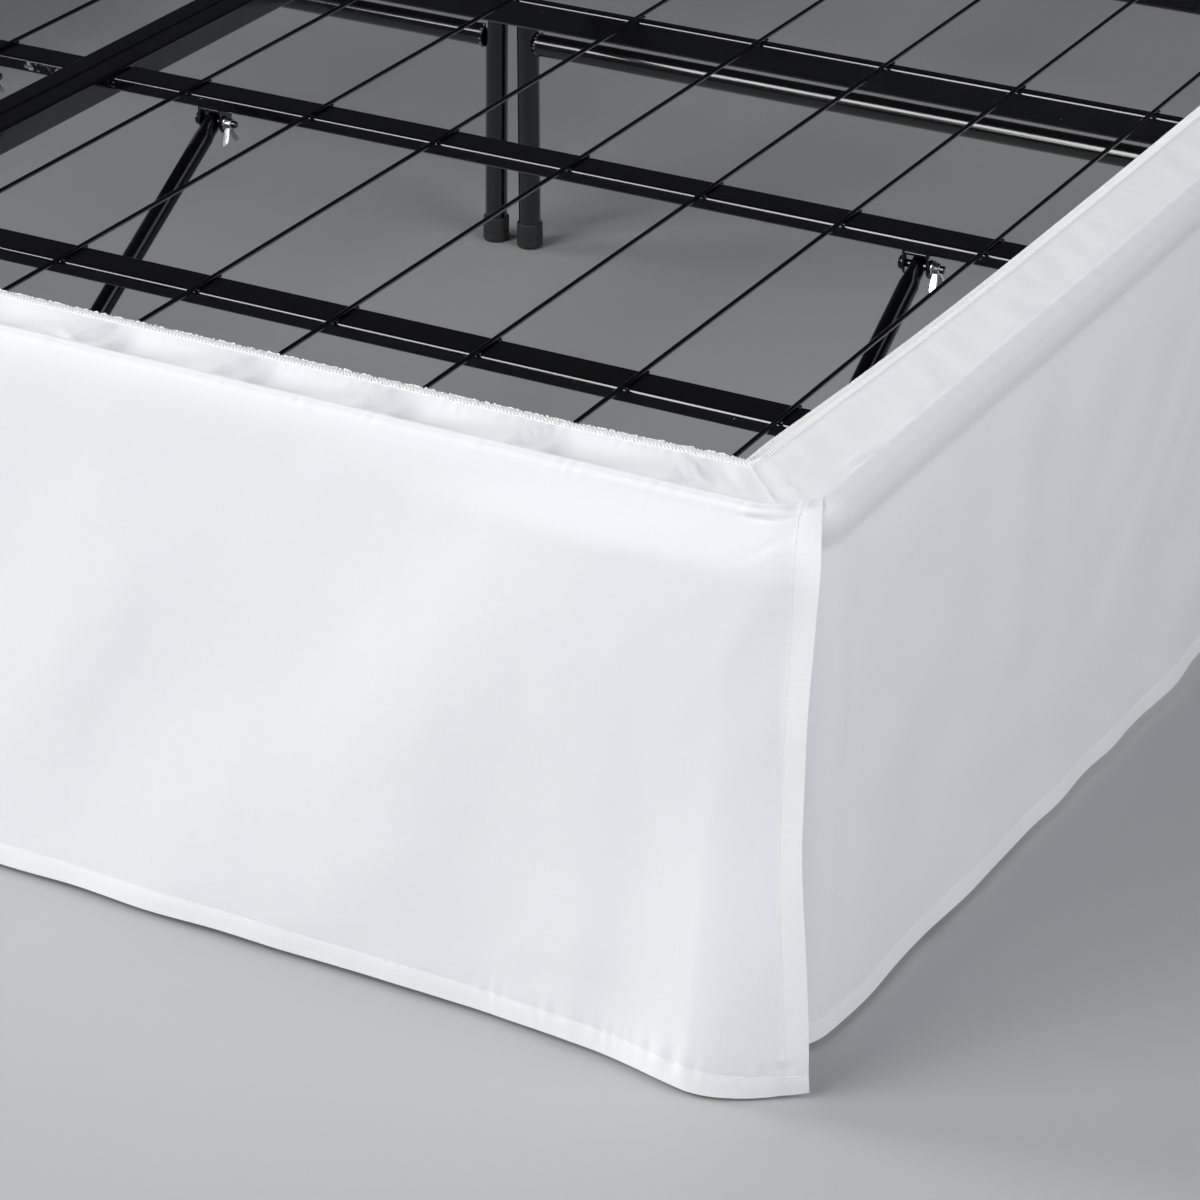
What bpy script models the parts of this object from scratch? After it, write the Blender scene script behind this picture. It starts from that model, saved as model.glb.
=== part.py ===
"""A tailored bed skirt with split corners, hanging on a folding metal bed frame.

Metres, +Z up, the floor at z = 0. X runs across the bed, -Y is the foot end.
The skirt is a flat heading band that lies on the frame's top all round, and
three drop panels sewn to the band's outer edge: foot, left and right. The
head end has the band only. Everything is modelled about the bed's middle and
parented to one empty, which puts the bounding box's middle over the origin.
"""

import math

import bmesh
import bpy
from mathutils import Matrix, Vector

# ---------------------------------------------------------------- sizes, m
HALF_W = 0.7585  # bed's centre line to the seam of a side, near a corner
BULGE_W = 0.0050  # and how much wider the seam stands along the side
HALF_L = 1.016  # bed's middle to the seam of the foot
MIDDLE_Y = 0.0309  # the bed's middle, from the origin

CLOTH = 0.0012  # thickness of every sheet
BAND_Z = 0.3556  # height of the band over the wires, mid-thickness
BAND_INNER_Y = 0.9690  # the band's inner edge along the foot and head
BAND_SAG = 0.0024  # how far the end bands dip between the wires
CORNER = (0.036, 0.038)  # the seam's rounding at a corner, across and along
MITRE = 27  # where on that rounding the mitre meets it, degrees from the foot
FOOT_END = 72  # and where the foot panel's top ends
SEAM_GAP = 0.0002  # each piece keeps this far from a seam's line
DROP = 0.3515  # seam to the lower edge of a hem

DECK_Z = 0.3500  # top of the cross tubes and end rails
RAIL_Z = 0.3526  # top of the side and centre rails
RAIL_LOW = 0.3310  # underside of the side rails
CENTRE_LOW = 0.3345  # underside of the centre rails
SIDE_RAIL_X = (0.7340, 0.7535)
CENTRE_RAIL_X = (0.0003, 0.0186)
RAIL_END = 0.9930  # where the side rails stop, inside the rounded corner
FOLD_Y = 0.0300  # where the rails are divided
PLAY = 0.0003  # gap between pieces that touch

WIRE_R = 0.0016
WIRE_FIRST, WIRE_PITCH, WIRES = 0.0821, 0.1006, 7
WIRE_ENDS = (1.0060, 0.0340)
WELD = 0.0003  # how far a wire is sunk into a tube

LEG_R, CAP_R, CAP_H = 0.0095, 0.0112, 0.0220
LEG_ROWS = {"foot": -0.8420, "mid": 0.0130, "head": 0.8420}
OUTER_LEG_X = 0.7460
INNER_LEG_X = {  # at the top and at the floor
    "left": (-0.0228, -0.0260),
    "right": (0.0045, 0.0073),
}
STRETCHER_Z, STRETCHER_R = 0.1830, 0.0095
BRACE_R = 0.0068
BRACE_X = (0.1000, 0.6385)
BRACE_TOP = (0.6020, 0.3300)  # y and z of a brace's upper end

# cross members of one quarter, y measured from the bed's middle
CROSS = (
    # name, near y, far y, underside
    ("end_rail", 1.0090, 0.9870, 0.3280),
    ("flat_1", 0.9030, 0.8750, 0.3400),
    ("flat_2", 0.6075, 0.5795, 0.3400),
    ("edge_3", 0.3215, 0.3115, 0.3280),
    ("edge_4", 0.0470, 0.0370, 0.3280),
)

# the foot panel's and side panels' section: drop below the seam, distance
# outward of it, and the share of the hem's own flare at that level
FOOT_ROWS = (
    (0.0000, 0.0000, 0.00),
    (0.0025, 0.0055, 0.00),
    (0.0080, 0.0090, 0.00),
    (0.0180, 0.0112, 0.01),
    (0.0330, 0.0120, 0.05),
    (0.0600, 0.0120, 0.13),
    (0.1200, 0.0120, 0.31),
    (0.1900, 0.0120, 0.52),
    (0.2600, 0.0120, 0.73),
    (0.3150, 0.0120, 0.89),
    (0.3360, 0.0120, 0.955),
    (DROP, 0.0120, 1.00),
)
SIDE_ROWS = (
    (0.0000, 0.0000, 0.00),
    (0.0025, 0.0055, 0.00),
    (0.0080, 0.0090, 0.00),
    (0.0160, 0.0110, 0.00),
    (0.0300, 0.0085, 0.00),
    (0.0450, 0.0085, 0.03),
    (0.0750, 0.0100, 0.12),
    (0.1300, 0.0105, 0.30),
    (0.2000, 0.0105, 0.52),
    (0.2700, 0.0105, 0.75),
    (0.3360, 0.0105, 0.95),
    (DROP, 0.0105, 1.00),
)
# the hems' distance outward of the seam
FOOT_FLARE = (
    # x, outward
    (-0.7225, 0.0590),
    (-0.700, 0.0560),
    (-0.640, 0.0510),
    (-0.560, 0.0455),
    (-0.420, 0.0490),
    (-0.260, 0.0450),
    (-0.060, 0.0490),
    (0.120, 0.0455),
    (0.230, 0.0470),
    (0.440, 0.0470),
    (0.490, 0.0480),
    (0.535, 0.0455),
    (0.580, 0.0460),
    (0.612, 0.0495),
    (0.644, 0.0525),
    (0.677, 0.0555),
    (0.700, 0.0590),
    (0.7225, 0.0610),
)
SIDE_HEM = (
    # y, distance of the hem from the bed's centre line
    (-0.978, 0.7692),
    (-0.951, 0.7715),
    (-0.919, 0.7720),
    (-0.858, 0.7730),
    (-0.803, 0.7770),
    (-0.747, 0.7780),
    (-0.663, 0.7810),
    (-0.604, 0.7815),
    (-0.510, 0.7860),
    (-0.423, 0.7870),
    (-0.260, 0.7845),
    (-0.080, 0.7865),
    (0.120, 0.7825),
    (0.330, 0.7860),
    (0.560, 0.7835),
    (0.780, 0.7855),
    (0.900, 0.7810),
    (0.976, 0.7770),
)
# the foot panel's free end at a corner, level by level
FOOT_EDGE = (
    # drop, x, y, heading of the cloth there in degrees from +X
    (0.0000, 0.7567, -0.9897, 72),
    (0.0025, 0.7600, -0.9990, 72),
    (0.0080, 0.7645, -1.0085, 72),
    (0.0180, 0.7680, -1.0160, 72),
    (0.0330, 0.7692, -1.0190, 70),
    (0.0600, 0.7698, -1.0213, 67),
    (0.1200, 0.7705, -1.0280, 64),
    (0.1900, 0.7725, -1.0340, 60),
    (0.2600, 0.7798, -1.0420, 54),
    (0.3150, 0.7855, -1.0475, 50),
    (0.3360, 0.7865, -1.0485, 50),
    (DROP, 0.7870, -1.0475, 50),
)
# a side panel's first stretch, hidden inside the foot panel's: its own drop
# and distance outward for the first rows of SIDE_ROWS
TUCKED = ((0.0040, 0.0015), (0.0052, 0.0028), (0.0092, 0.0052), (0.0165, 0.0075))
TUCKED_FROM, TUCKED_TO = 84, 74  # where it goes under, degrees from the foot
# the side bands' inner edge
BAND_INNER = (
    # distance along from the bed's middle, distance from its centre line
    (0.000, 0.7145),
    (0.330, 0.7140),
    (0.540, 0.7125),
    (0.700, 0.7100),
    (0.820, 0.7058),
    (0.900, 0.7015),
    (0.940, 0.6992),
    (0.969, 0.6985),
)

COLOURS = {
    # name: base colour, roughness, metallic
    "cotton_white": ((0.86, 0.87, 0.88), 0.85, 0.0),
    "black_steel": ((0.012, 0.012, 0.013), 0.38, 0.0),
    "zinc": ((0.62, 0.63, 0.64), 0.30, 1.0),
}

for old in list(bpy.data.objects):
    bpy.data.objects.remove(old, do_unlink=True)


# ---------------------------------------------------------------- set-up
def collection(name):
    made = bpy.data.collections.new(name)
    bpy.context.scene.collection.children.link(made)
    return made


PARTS = collection("bed_skirt_on_frame")
HELPERS = collection("union_helpers")
ROOT = bpy.data.objects.new("bed_middle", None)
ROOT.location = (0.0, MIDDLE_Y, 0.0)
PARTS.objects.link(ROOT)


def material(name):
    """A Principled material of its own for each object."""
    colour, roughness, metallic = COLOURS[name]
    made = bpy.data.materials.new(name)
    made.use_nodes = True
    shader = made.node_tree.nodes["Principled BSDF"]
    shader.inputs["Base Color"].default_value = (*colour, 1.0)
    shader.inputs["Roughness"].default_value = roughness
    shader.inputs["Metallic"].default_value = metallic
    return made


def add(name, bm, finish, place=(0.0, 0.0, 0.0), into=PARTS):
    """Turns a bmesh into an object under the bed's middle."""
    mesh = bpy.data.meshes.new(name)
    bm.to_mesh(mesh)
    bm.free()
    mesh.materials.append(material(finish))
    obj = bpy.data.objects.new(name, mesh)
    into.objects.link(obj)
    obj.parent = ROOT
    obj.location = place
    if into is HELPERS:
        obj.hide_render = True
        obj.display_type = "WIRE"
    return obj


def bevel(obj, width, segments=1):
    edge = obj.modifiers.new("edge", "BEVEL")
    edge.width = width
    edge.segments = segments
    edge.limit_method = "ANGLE"
    edge.angle_limit = math.radians(40)


def block(bm, low, high):
    """A box between two corners, whichever way round they are."""
    low, high = Vector(low), Vector(high)
    size = Vector([abs(b - a) for a, b in zip(low, high)])
    bmesh.ops.create_cube(
        bm,
        size=1.0,
        matrix=Matrix.Translation((low + high) / 2) @ Matrix.Diagonal((*size, 1.0)),
    )


def rod(bm, start, end, radius, sides):
    """A capped cylinder from one point to another."""
    start, end = Vector(start), Vector(end)
    run = end - start
    turn = run.to_track_quat("Z", "Y").to_matrix().to_4x4()
    bmesh.ops.create_cone(
        bm,
        cap_ends=True,
        segments=sides,
        radius1=radius,
        radius2=radius,
        depth=run.length,
        matrix=Matrix.Translation((start + end) / 2) @ turn,
    )


def union(obj, other):
    joined = obj.modifiers.new("union", "BOOLEAN")
    joined.operation = "UNION"
    joined.object = other


def smooth(table, at, column=1):
    """A smooth reading of a table of rows sorted by their first column."""
    keys = [row[0] for row in table]
    if at <= keys[0]:
        return table[0][column]
    if at >= keys[-1]:
        return table[-1][column]
    k = max(i for i, key in enumerate(keys) if key <= at)
    k = min(k, len(table) - 2)

    def slope(i):
        a, b = max(i - 1, 0), min(i + 1, len(table) - 1)
        return (table[b][column] - table[a][column]) / (keys[b] - keys[a])

    step = keys[k + 1] - keys[k]
    t = (at - keys[k]) / step
    a, b = table[k][column], table[k + 1][column]
    return (
        (2 * t**3 - 3 * t**2 + 1) * a
        + (t**3 - 2 * t**2 + t) * step * slope(k)
        + (3 * t**2 - 2 * t**3) * b
        + (t**3 - t**2) * step * slope(k + 1)
    )


# ---------------------------------------------------------------- cloth
def sheet(name, rows, columns, point):
    """A grid of cloth, each of whose points is placed by its row and column,
    thickened about its middle."""
    bm = bmesh.new()
    bmesh.ops.create_grid(bm, x_segments=columns - 1, y_segments=rows - 1, size=0.5)
    for vert in bm.verts:
        column = round((vert.co.x + 0.5) * (columns - 1))
        row = round((vert.co.y + 0.5) * (rows - 1))
        vert.co = point(row, column)
    bmesh.ops.recalc_face_normals(bm, faces=bm.faces)
    obj = add(name, bm, "cotton_white")
    thick = obj.modifiers.new("thickness", "SOLIDIFY")
    thick.thickness = CLOTH
    thick.offset = 0.0
    thick.use_even_offset = True
    obj.data.shade_smooth()
    return obj


def wire_places():
    return [WIRE_FIRST + WIRE_PITCH * i for i in range(WIRES)]


def sag(x):
    """0 over a wire, 1 midway between two, for cloth that lies across them."""
    phase = (abs(x) - WIRE_FIRST) / WIRE_PITCH
    if phase < 0 or phase > WIRES - 1:
        return 0.0
    return 0.5 - 0.5 * math.cos(2 * math.pi * phase)


def stations(limit):
    """Columns across the bed: one on each wire and one between each pair."""
    half = [0.0]
    for x in wire_places():
        half += [x, x + WIRE_PITCH / 2]
    half = [x for x in half if x < limit - 0.02]
    return [-x for x in reversed(half[1:])] + half


def seam_height(x):
    return BAND_Z - 0.8 * BAND_SAG * sag(x)


def foot_surface(x, drop):
    """A point of the foot panel's straight stretch."""
    out = smooth(FOOT_ROWS, drop, 1)
    share = smooth(FOOT_ROWS, drop, 2)
    out += share * (smooth(FOOT_FLARE, x) - FOOT_ROWS[-1][1])
    lift = seam_height(x) - BAND_Z
    z = BAND_Z - drop + lift * max(0.0, 1 - drop / 0.06)
    return Vector((x, -(HALF_L + out), z))


def corner_point(angle, out=0.0):
    """A point of the seam's rounding at a corner, or of a line outside it.
    Angle 0 is where the foot's straight stretch ends, 90 the side's."""
    turn = math.radians(angle)
    across, along = CORNER
    facing = Vector((along * math.sin(turn), across * math.cos(turn))).normalized()
    return (
        HALF_W - across + across * math.sin(turn) + out * facing.x,
        HALF_L - along + along * math.cos(turn) + out * facing.y,
    )


def side_seam(y):
    """How far a side's seam is from the centre line."""
    t = min(max((HALF_L - 0.09 - abs(y)) / 0.42, 0.0), 1.0)
    return HALF_W + BULGE_W * t * t * (3 - 2 * t)


def foot_turn(side, drop, t):
    """The foot panel's end, turning round a corner: a cubic from the
    straight stretch, at t = 0, to the free edge, at t = 1."""
    if drop == 0.0:
        x, y = corner_point(FOOT_END * t, 2 * SEAM_GAP)
        return Vector((side * x, -y, BAND_Z))
    start = foot_surface(side * (HALF_W - CORNER[0]), drop)
    turn = math.radians(smooth(FOOT_EDGE, drop, 3))
    end = Vector(
        (side * smooth(FOOT_EDGE, drop, 1), smooth(FOOT_EDGE, drop, 2), start.z)
    )
    reach = 0.37 * (end - start).length
    lead = start + Vector((side * reach, 0.0, 0.0))
    trail = end - reach * Vector((side * math.cos(turn), math.sin(turn), 0.0))
    s = 1 - t
    return s**3 * start + 3 * s * s * t * lead + 3 * s * t * t * trail + t**3 * end


def foot_panel():
    turning = [k / 8 for k in range(9)]
    columns = (
        [(-1, t) for t in reversed(turning)]
        + [(0, x) for x in stations(HALF_W - CORNER[0])]
        + [(1, t) for t in turning]
    )

    def point(row, column):
        drop = FOOT_ROWS[row][0]
        side, value = columns[column]
        if side:
            return foot_turn(side, drop, value)
        place = foot_surface(value, drop)
        if row == 0:
            place.y -= 2 * SEAM_GAP
        return place

    return sheet("panel_foot", len(FOOT_ROWS), len(columns), point)


def side_panel(name, side):
    """A side's panel. Its front end follows the corner's rounding, inside
    the foot panel's end."""
    turning = [("turn", angle) for angle in (50, 57, 64, 70, 74, 79, 84)]
    columns = turning + [("run", row[0]) for row in SIDE_HEM]

    def point(row, column):
        drop, out, share = SIDE_ROWS[row]
        if row == 0:
            out += 2 * SEAM_GAP
        kind, value = columns[column]
        if kind == "run":
            x = (1 - share) * (side_seam(value) + out)
            x += share * smooth(SIDE_HEM, value)
            return Vector((side * x, value, BAND_Z - drop))
        tuck = min((TUCKED_FROM - value) / (TUCKED_FROM - TUCKED_TO), 1.0)
        if row < len(TUCKED):
            drop += tuck * (TUCKED[row][0] - drop)
            out += tuck * (TUCKED[row][1] - out)
        x, y = corner_point(value, out)
        return Vector((side * x, -y, BAND_Z - drop))

    return sheet(name, len(SIDE_ROWS), len(columns), point)


BAND_ACROSS = (0.0, 0.35, 0.7, 1.0)  # inner edge to seam
BAND_DIP = (0.0, 0.8, 1.0, 0.8)  # how much of the sag each line takes


def end_band(name, end):
    """The band across the foot (end -1) or the head (end 1)."""
    last = MITRE - math.degrees(SEAM_GAP / CORNER[0])
    bend = [corner_point(last * k / 3, -SEAM_GAP) for k in range(4)]
    outer = [(x, HALF_L - SEAM_GAP) for x in stations(HALF_W - CORNER[0])]
    outer = [(-x, y) for x, y in reversed(bend)] + outer + bend
    reach = outer[-1][0]
    inner_reach = BAND_INNER[-1][1] - SEAM_GAP

    def point(row, column):
        x, y = outer[column]
        inner = Vector((x * inner_reach / reach, BAND_INNER_Y))
        flat = inner.lerp(Vector((x, y)), BAND_ACROSS[row])
        z = BAND_Z - BAND_SAG * BAND_DIP[row] * sag(flat.x)
        return Vector((flat.x, end * flat.y, z))

    return sheet(name, len(BAND_ACROSS), len(outer), point)


def side_band(name, side):
    """The band along a side, from mitre to mitre."""
    first = MITRE + math.degrees(SEAM_GAP / CORNER[0])
    bend = [corner_point(first + (90 - first) * k / 5, -SEAM_GAP) for k in range(6)]
    outer = (
        [(x, -y) for x, y in bend]
        + [(side_seam(row[0]) - SEAM_GAP, row[0]) for row in SIDE_HEM[1:-1]]
        + [(x, y) for x, y in reversed(bend)]
    )
    reach = outer[-1][1]
    inner_reach = BAND_INNER_Y - SEAM_GAP

    def point(row, column):
        x, y = outer[column]
        along = y * inner_reach / reach
        inner = Vector((smooth(BAND_INNER, abs(along)) + SEAM_GAP, along))
        flat = inner.lerp(Vector((x, y)), BAND_ACROSS[row])
        return Vector((side * flat.x, flat.y, BAND_Z))

    return sheet(name, len(BAND_ACROSS), len(outer), point)


# ---------------------------------------------------------------- frame
def deck(name, side, end):
    """A quarter's welded grille: the end rail and cross tubes, with the
    wires laid over them."""
    bm = bmesh.new()
    near, far = CENTRE_RAIL_X[1] + PLAY, SIDE_RAIL_X[0] - PLAY
    for _, y0, y1, low in CROSS:
        block(bm, (side * near, end * y0, low), (side * far, end * y1, DECK_Z))
    tubes = add(name, bm, "black_steel")
    bevel(tubes, 0.0015)

    bm = bmesh.new()
    for x in wire_places():
        height = DECK_Z + WIRE_R - WELD
        rod(
            bm,
            (side * x, end * WIRE_ENDS[0], height),
            (side * x, end * WIRE_ENDS[1], height),
            WIRE_R,
            6,
        )
    # the cheeks that hold each brace's upper end, under the second flat tube
    y, z = BRACE_TOP
    for x in BRACE_X:
        for cheek in (-1, 1):
            mid = side * (x + cheek * (BRACE_R + 0.0016))
            block(
                bm,
                (mid - 0.0010, end * (y - 0.009), z - 0.006),
                (mid + 0.0010, end * (y + 0.005), CROSS[2][3] + 0.002),
            )
    wires = add(name + "_wires", bm, "black_steel", into=HELPERS)
    union(tubes, wires)
    return tubes


def rail(name, low, high):
    bm = bmesh.new()
    size = [abs(b - a) for a, b in zip(low, high)]
    half = [s / 2 for s in size]
    block(bm, [-h for h in half], half)
    obj = add(name, bm, "black_steel", [(a + b) / 2 for a, b in zip(low, high)])
    bevel(obj, 0.0015)
    return obj


def leg(name, top, foot):
    """A tube leg with its moulded foot cap, turned about its own axis."""
    top, foot = Vector(top), Vector(foot)
    length = (top - foot).length
    profile = (
        (0.0, length),
        (LEG_R, length),
        (LEG_R, CAP_H + 0.0015),
        (CAP_R, CAP_H),
        (CAP_R, 0.0015),
        (CAP_R - 0.0015, 0.0),
        (0.0, 0.0),
    )
    bm = bmesh.new()
    verts = [bm.verts.new((x, 0.0, z)) for x, z in profile]
    for a, b in zip(verts, verts[1:]):
        bm.edges.new((a, b))
    obj = add(name, bm, "black_steel", foot)
    obj.rotation_mode = "QUATERNION"
    obj.rotation_quaternion = (top - foot).to_track_quat("Z", "Y")
    turned = obj.modifiers.new("turned", "SCREW")
    turned.steps = turned.render_steps = 12
    turned.use_merge_vertices = True
    turned.merge_threshold = 0.0001
    turned.use_smooth_shade = True
    return obj


def tube(name, start, end, radius, resolution=3):
    """A straight tube as a bevelled curve with filled caps."""
    start, end = Vector(start), Vector(end)
    curve = bpy.data.curves.new(name, "CURVE")
    curve.dimensions = "3D"
    curve.bevel_depth = radius
    curve.bevel_resolution = resolution
    curve.use_fill_caps = True
    line = curve.splines.new("POLY")
    line.points.add(1)
    for place, co in zip(line.points, (Vector(), end - start)):
        place.co = (*co, 1.0)
    curve.materials.append(material("black_steel"))
    obj = bpy.data.objects.new(name, curve)
    PARTS.objects.link(obj)
    obj.parent = ROOT
    obj.location = start
    return obj


def wing_nut(name, x, y, z, side):
    """A wing nut on its bolt's end, its axis along X, wings hanging."""
    bm = bmesh.new()
    rod(bm, (x, y, z), (x + side * 0.0060, y, z), 0.0042, 8)
    hub = add(name, bm, "zinc")
    bm = bmesh.new()
    rod(bm, (x + side * 0.0010, y, z), (x + side * 0.0095, y, z), 0.0024, 6)
    for lean in (-1, 1):
        block(
            bm,
            (x + side * 0.0022, y + lean * 0.0012, z - 0.0010),
            (x + side * 0.0050, y + lean * 0.0034, z - 0.0160),
        )
    wings = add(name + "_wings", bm, "zinc", into=HELPERS)
    union(hub, wings)
    return hub


def leg_rows(side, hand):
    """The three leg frames of one half, with their stretchers."""
    for row, y in LEG_ROWS.items():
        leg(
            f"leg_outer_{row}_{hand}",
            (side * OUTER_LEG_X, y, RAIL_LOW - PLAY),
            (side * OUTER_LEG_X, y, 0.0),
        )
        high, low = INNER_LEG_X[hand]
        leg(
            f"leg_inner_{row}_{hand}",
            (high, y, CENTRE_LOW - PLAY),
            (low, y, 0.0002),
        )
        lean = low + (high - low) * STRETCHER_Z / CENTRE_LOW
        tube(
            f"stretcher_{row}_{hand}",
            (lean + side * (LEG_R + 0.0005), y, STRETCHER_Z),
            (side * (OUTER_LEG_X - LEG_R - PLAY), y, STRETCHER_Z),
            STRETCHER_R,
        )


def braces(side, hand, end, where):
    """The two braces of a quarter, each from under the second cross tube
    down to the stretcher, and their wing nuts."""
    foot = Vector((0.0, end * LEG_ROWS["head"], STRETCHER_Z))
    y, z = BRACE_TOP
    for x, place in zip(BRACE_X, ("inner", "outer")):
        top = Vector((side * x, end * y, z))
        foot.x = top.x
        stop = foot + (top - foot).normalized() * (STRETCHER_R + 0.0005)
        tube(f"brace_{place}_{where}_{hand}", top, stop, BRACE_R, 2)
        wing_nut(
            f"wing_nut_{place}_{where}_{hand}",
            top.x + BRACE_R + 0.0016 + 0.0010 + PLAY,
            top.y,
            top.z + 0.0005,
            1,
        )


foot_panel()
end_band("band_foot", -1)
end_band("band_head", 1)
for side, hand in ((-1, "left"), (1, "right")):
    side_panel("panel_" + hand, side)
    side_band("band_" + hand, side)
    for end, where in ((-1, "foot"), (1, "head")):
        deck(f"deck_{where}_{hand}", side, end)
        # the foot lengths run past the middle legs, the head ones start there
        begin = FOLD_Y if end < 0 else FOLD_Y + PLAY
        for kind, (x0, x1), low, stop in (
            ("side_rail", SIDE_RAIL_X, RAIL_LOW, RAIL_END),
            ("centre_rail", CENTRE_RAIL_X, CENTRE_LOW, CROSS[0][1]),
        ):
            rail(
                f"{kind}_{where}_{hand}",
                (side * x0, begin, low),
                (side * x1, end * stop, RAIL_Z),
            )
        braces(side, hand, end, where)
    leg_rows(side, hand)

bpy.context.view_layer.update()
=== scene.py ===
"""How the bed skirt and its frame look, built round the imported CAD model.

Metres, in the CAD model's frame. Shapes are worked out about the bed's middle
and moved by MIDDLE_Y when a mesh is made. The skirt's seven pieces are thin
sheets on the CAD sheets' middle surfaces, with the folds, hems, seams and
stitches that those leave out; the steel is built again with rounded edges,
welds and fittings.
"""

import math

import bmesh
import bpy
import numpy as np
from mathutils import Matrix, Vector


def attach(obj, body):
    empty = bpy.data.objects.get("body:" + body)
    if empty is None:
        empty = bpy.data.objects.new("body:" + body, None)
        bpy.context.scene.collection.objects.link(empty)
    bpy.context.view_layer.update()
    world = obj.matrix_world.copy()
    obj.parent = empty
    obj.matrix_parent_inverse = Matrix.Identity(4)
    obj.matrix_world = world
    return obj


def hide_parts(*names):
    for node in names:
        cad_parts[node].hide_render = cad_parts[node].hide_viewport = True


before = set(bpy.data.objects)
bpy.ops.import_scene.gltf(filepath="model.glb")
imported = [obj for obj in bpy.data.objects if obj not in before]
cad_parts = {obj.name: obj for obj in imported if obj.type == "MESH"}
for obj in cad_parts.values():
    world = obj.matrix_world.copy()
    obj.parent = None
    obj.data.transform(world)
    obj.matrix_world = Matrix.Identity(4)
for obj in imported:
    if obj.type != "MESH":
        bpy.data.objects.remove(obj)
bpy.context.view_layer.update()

# ---------------------------------------------------------------- sizes, m
HALF_W, BULGE_W, HALF_L, MIDDLE_Y = 0.7585, 0.0050, 1.016, 0.0309
BAND_Z, BAND_INNER_Y, DROP = 0.3556, 0.9690, 0.3515
CORNER = (0.036, 0.038)
MITRE, FOOT_END = 27.0, 72.0
FABRIC = 0.00052  # how thick the cotton is drawn
HEM = 0.0150

DECK_Z, RAIL_Z, RAIL_LOW, CENTRE_LOW = 0.3500, 0.3526, 0.3310, 0.3345
SIDE_RAIL_X, CENTRE_RAIL_X = (0.7340, 0.7535), (0.0003, 0.0186)
RAIL_END, FOLD_Y, PLAY = 0.9930, 0.0300, 0.0003
WIRE_R, WIRE_FIRST, WIRE_PITCH, WIRES = 0.0016, 0.0821, 0.1006, 7
WIRE_ENDS, WELD = (1.0060, 0.0340), 0.0003
LEG_R, CAP_R, CAP_H = 0.0095, 0.0112, 0.0220
LEG_ROWS = {"foot": -0.8420, "mid": 0.0130, "head": 0.8420}
OUTER_LEG_X = 0.7460
INNER_LEG_X = {"left": (-0.0228, -0.0260), "right": (0.0045, 0.0073)}
STRETCHER_Z, STRETCHER_R = 0.1830, 0.0095
BRACE_R, BRACE_X, BRACE_TOP = 0.0068, (0.1000, 0.6385), (0.6020, 0.3300)
CROSS = (
    ("end_rail", 1.0090, 0.9870, 0.3280),
    ("flat_1", 0.9030, 0.8750, 0.3400),
    ("flat_2", 0.6075, 0.5795, 0.3400),
    ("edge_3", 0.3215, 0.3115, 0.3280),
    ("edge_4", 0.0470, 0.0370, 0.3280),
)

# sections of the drop panels: drop, distance outward, share of the hem's flare
FOOT_ROWS = (
    (0.0000, 0.0000, 0.00),
    (0.0025, 0.0055, 0.00),
    (0.0080, 0.0090, 0.00),
    (0.0180, 0.0112, 0.01),
    (0.0330, 0.0120, 0.05),
    (0.0600, 0.0120, 0.13),
    (0.1200, 0.0120, 0.31),
    (0.1900, 0.0120, 0.52),
    (0.2600, 0.0120, 0.73),
    (0.3150, 0.0120, 0.89),
    (0.3360, 0.0120, 0.955),
    (DROP, 0.0120, 1.00),
)
SIDE_ROWS = (
    (0.0000, 0.0000, 0.00),
    (0.0012, 0.0052, 0.00),
    (0.0040, 0.0094, 0.00),
    (0.0085, 0.0115, 0.00),
    (0.0125, 0.0117, 0.00),
    (0.0165, 0.0110, 0.00),
    (0.0205, 0.0097, 0.00),
    (0.0245, 0.0080, 0.00),
    (0.0280, 0.0067, 0.00),
    (0.0310, 0.0063, 0.01),
    (0.0370, 0.0069, 0.02),
    (0.0520, 0.0086, 0.04),
    (0.0750, 0.0103, 0.12),
    (0.1300, 0.0112, 0.30),
    (0.2000, 0.0106, 0.52),
    (0.2700, 0.0104, 0.75),
    (0.3360, 0.0105, 0.95),
    (DROP, 0.0105, 1.00),
)
FOOT_FLARE = (
    (-0.7225, 0.0590),
    (-0.700, 0.0560),
    (-0.640, 0.0510),
    (-0.560, 0.0455),
    (-0.420, 0.0490),
    (-0.260, 0.0450),
    (-0.060, 0.0490),
    (0.120, 0.0445),
    (0.230, 0.0440),
    (0.340, 0.0400),
    (0.440, 0.0362),
    (0.490, 0.0374),
    (0.535, 0.0397),
    (0.580, 0.0414),
    (0.612, 0.0444),
    (0.644, 0.0484),
    (0.677, 0.0510),
    (0.700, 0.0542),
    (0.7225, 0.0574),
)
SIDE_HEM = (
    (-0.978, 0.7692),
    (-0.951, 0.7715),
    (-0.919, 0.7720),
    (-0.858, 0.7730),
    (-0.803, 0.7770),
    (-0.747, 0.7780),
    (-0.663, 0.7810),
    (-0.604, 0.7815),
    (-0.510, 0.7860),
    (-0.423, 0.7870),
    (-0.260, 0.7845),
    (-0.080, 0.7865),
    (0.120, 0.7825),
    (0.330, 0.7860),
    (0.560, 0.7835),
    (0.780, 0.7855),
    (0.900, 0.7810),
    (0.976, 0.7770),
)
FOOT_EDGE = (
    (0.0000, 0.7567, -0.9897, 72),
    (0.0025, 0.7600, -0.9990, 68),
    (0.0080, 0.7645, -1.0085, 58),
    (0.0180, 0.7690, -1.0178, 42),
    (0.0330, 0.7711, -1.0225, 28),
    (0.0600, 0.7732, -1.0276, 12),
    (0.1200, 0.7748, -1.0360, 4),
    (0.1900, 0.7771, -1.0425, 5),
    (0.2600, 0.7830, -1.0480, 22),
    (0.3150, 0.7863, -1.0490, 34),
    (0.3360, 0.7859, -1.0472, 38),
    (DROP, 0.7854, -1.0445, 38),
)
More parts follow.
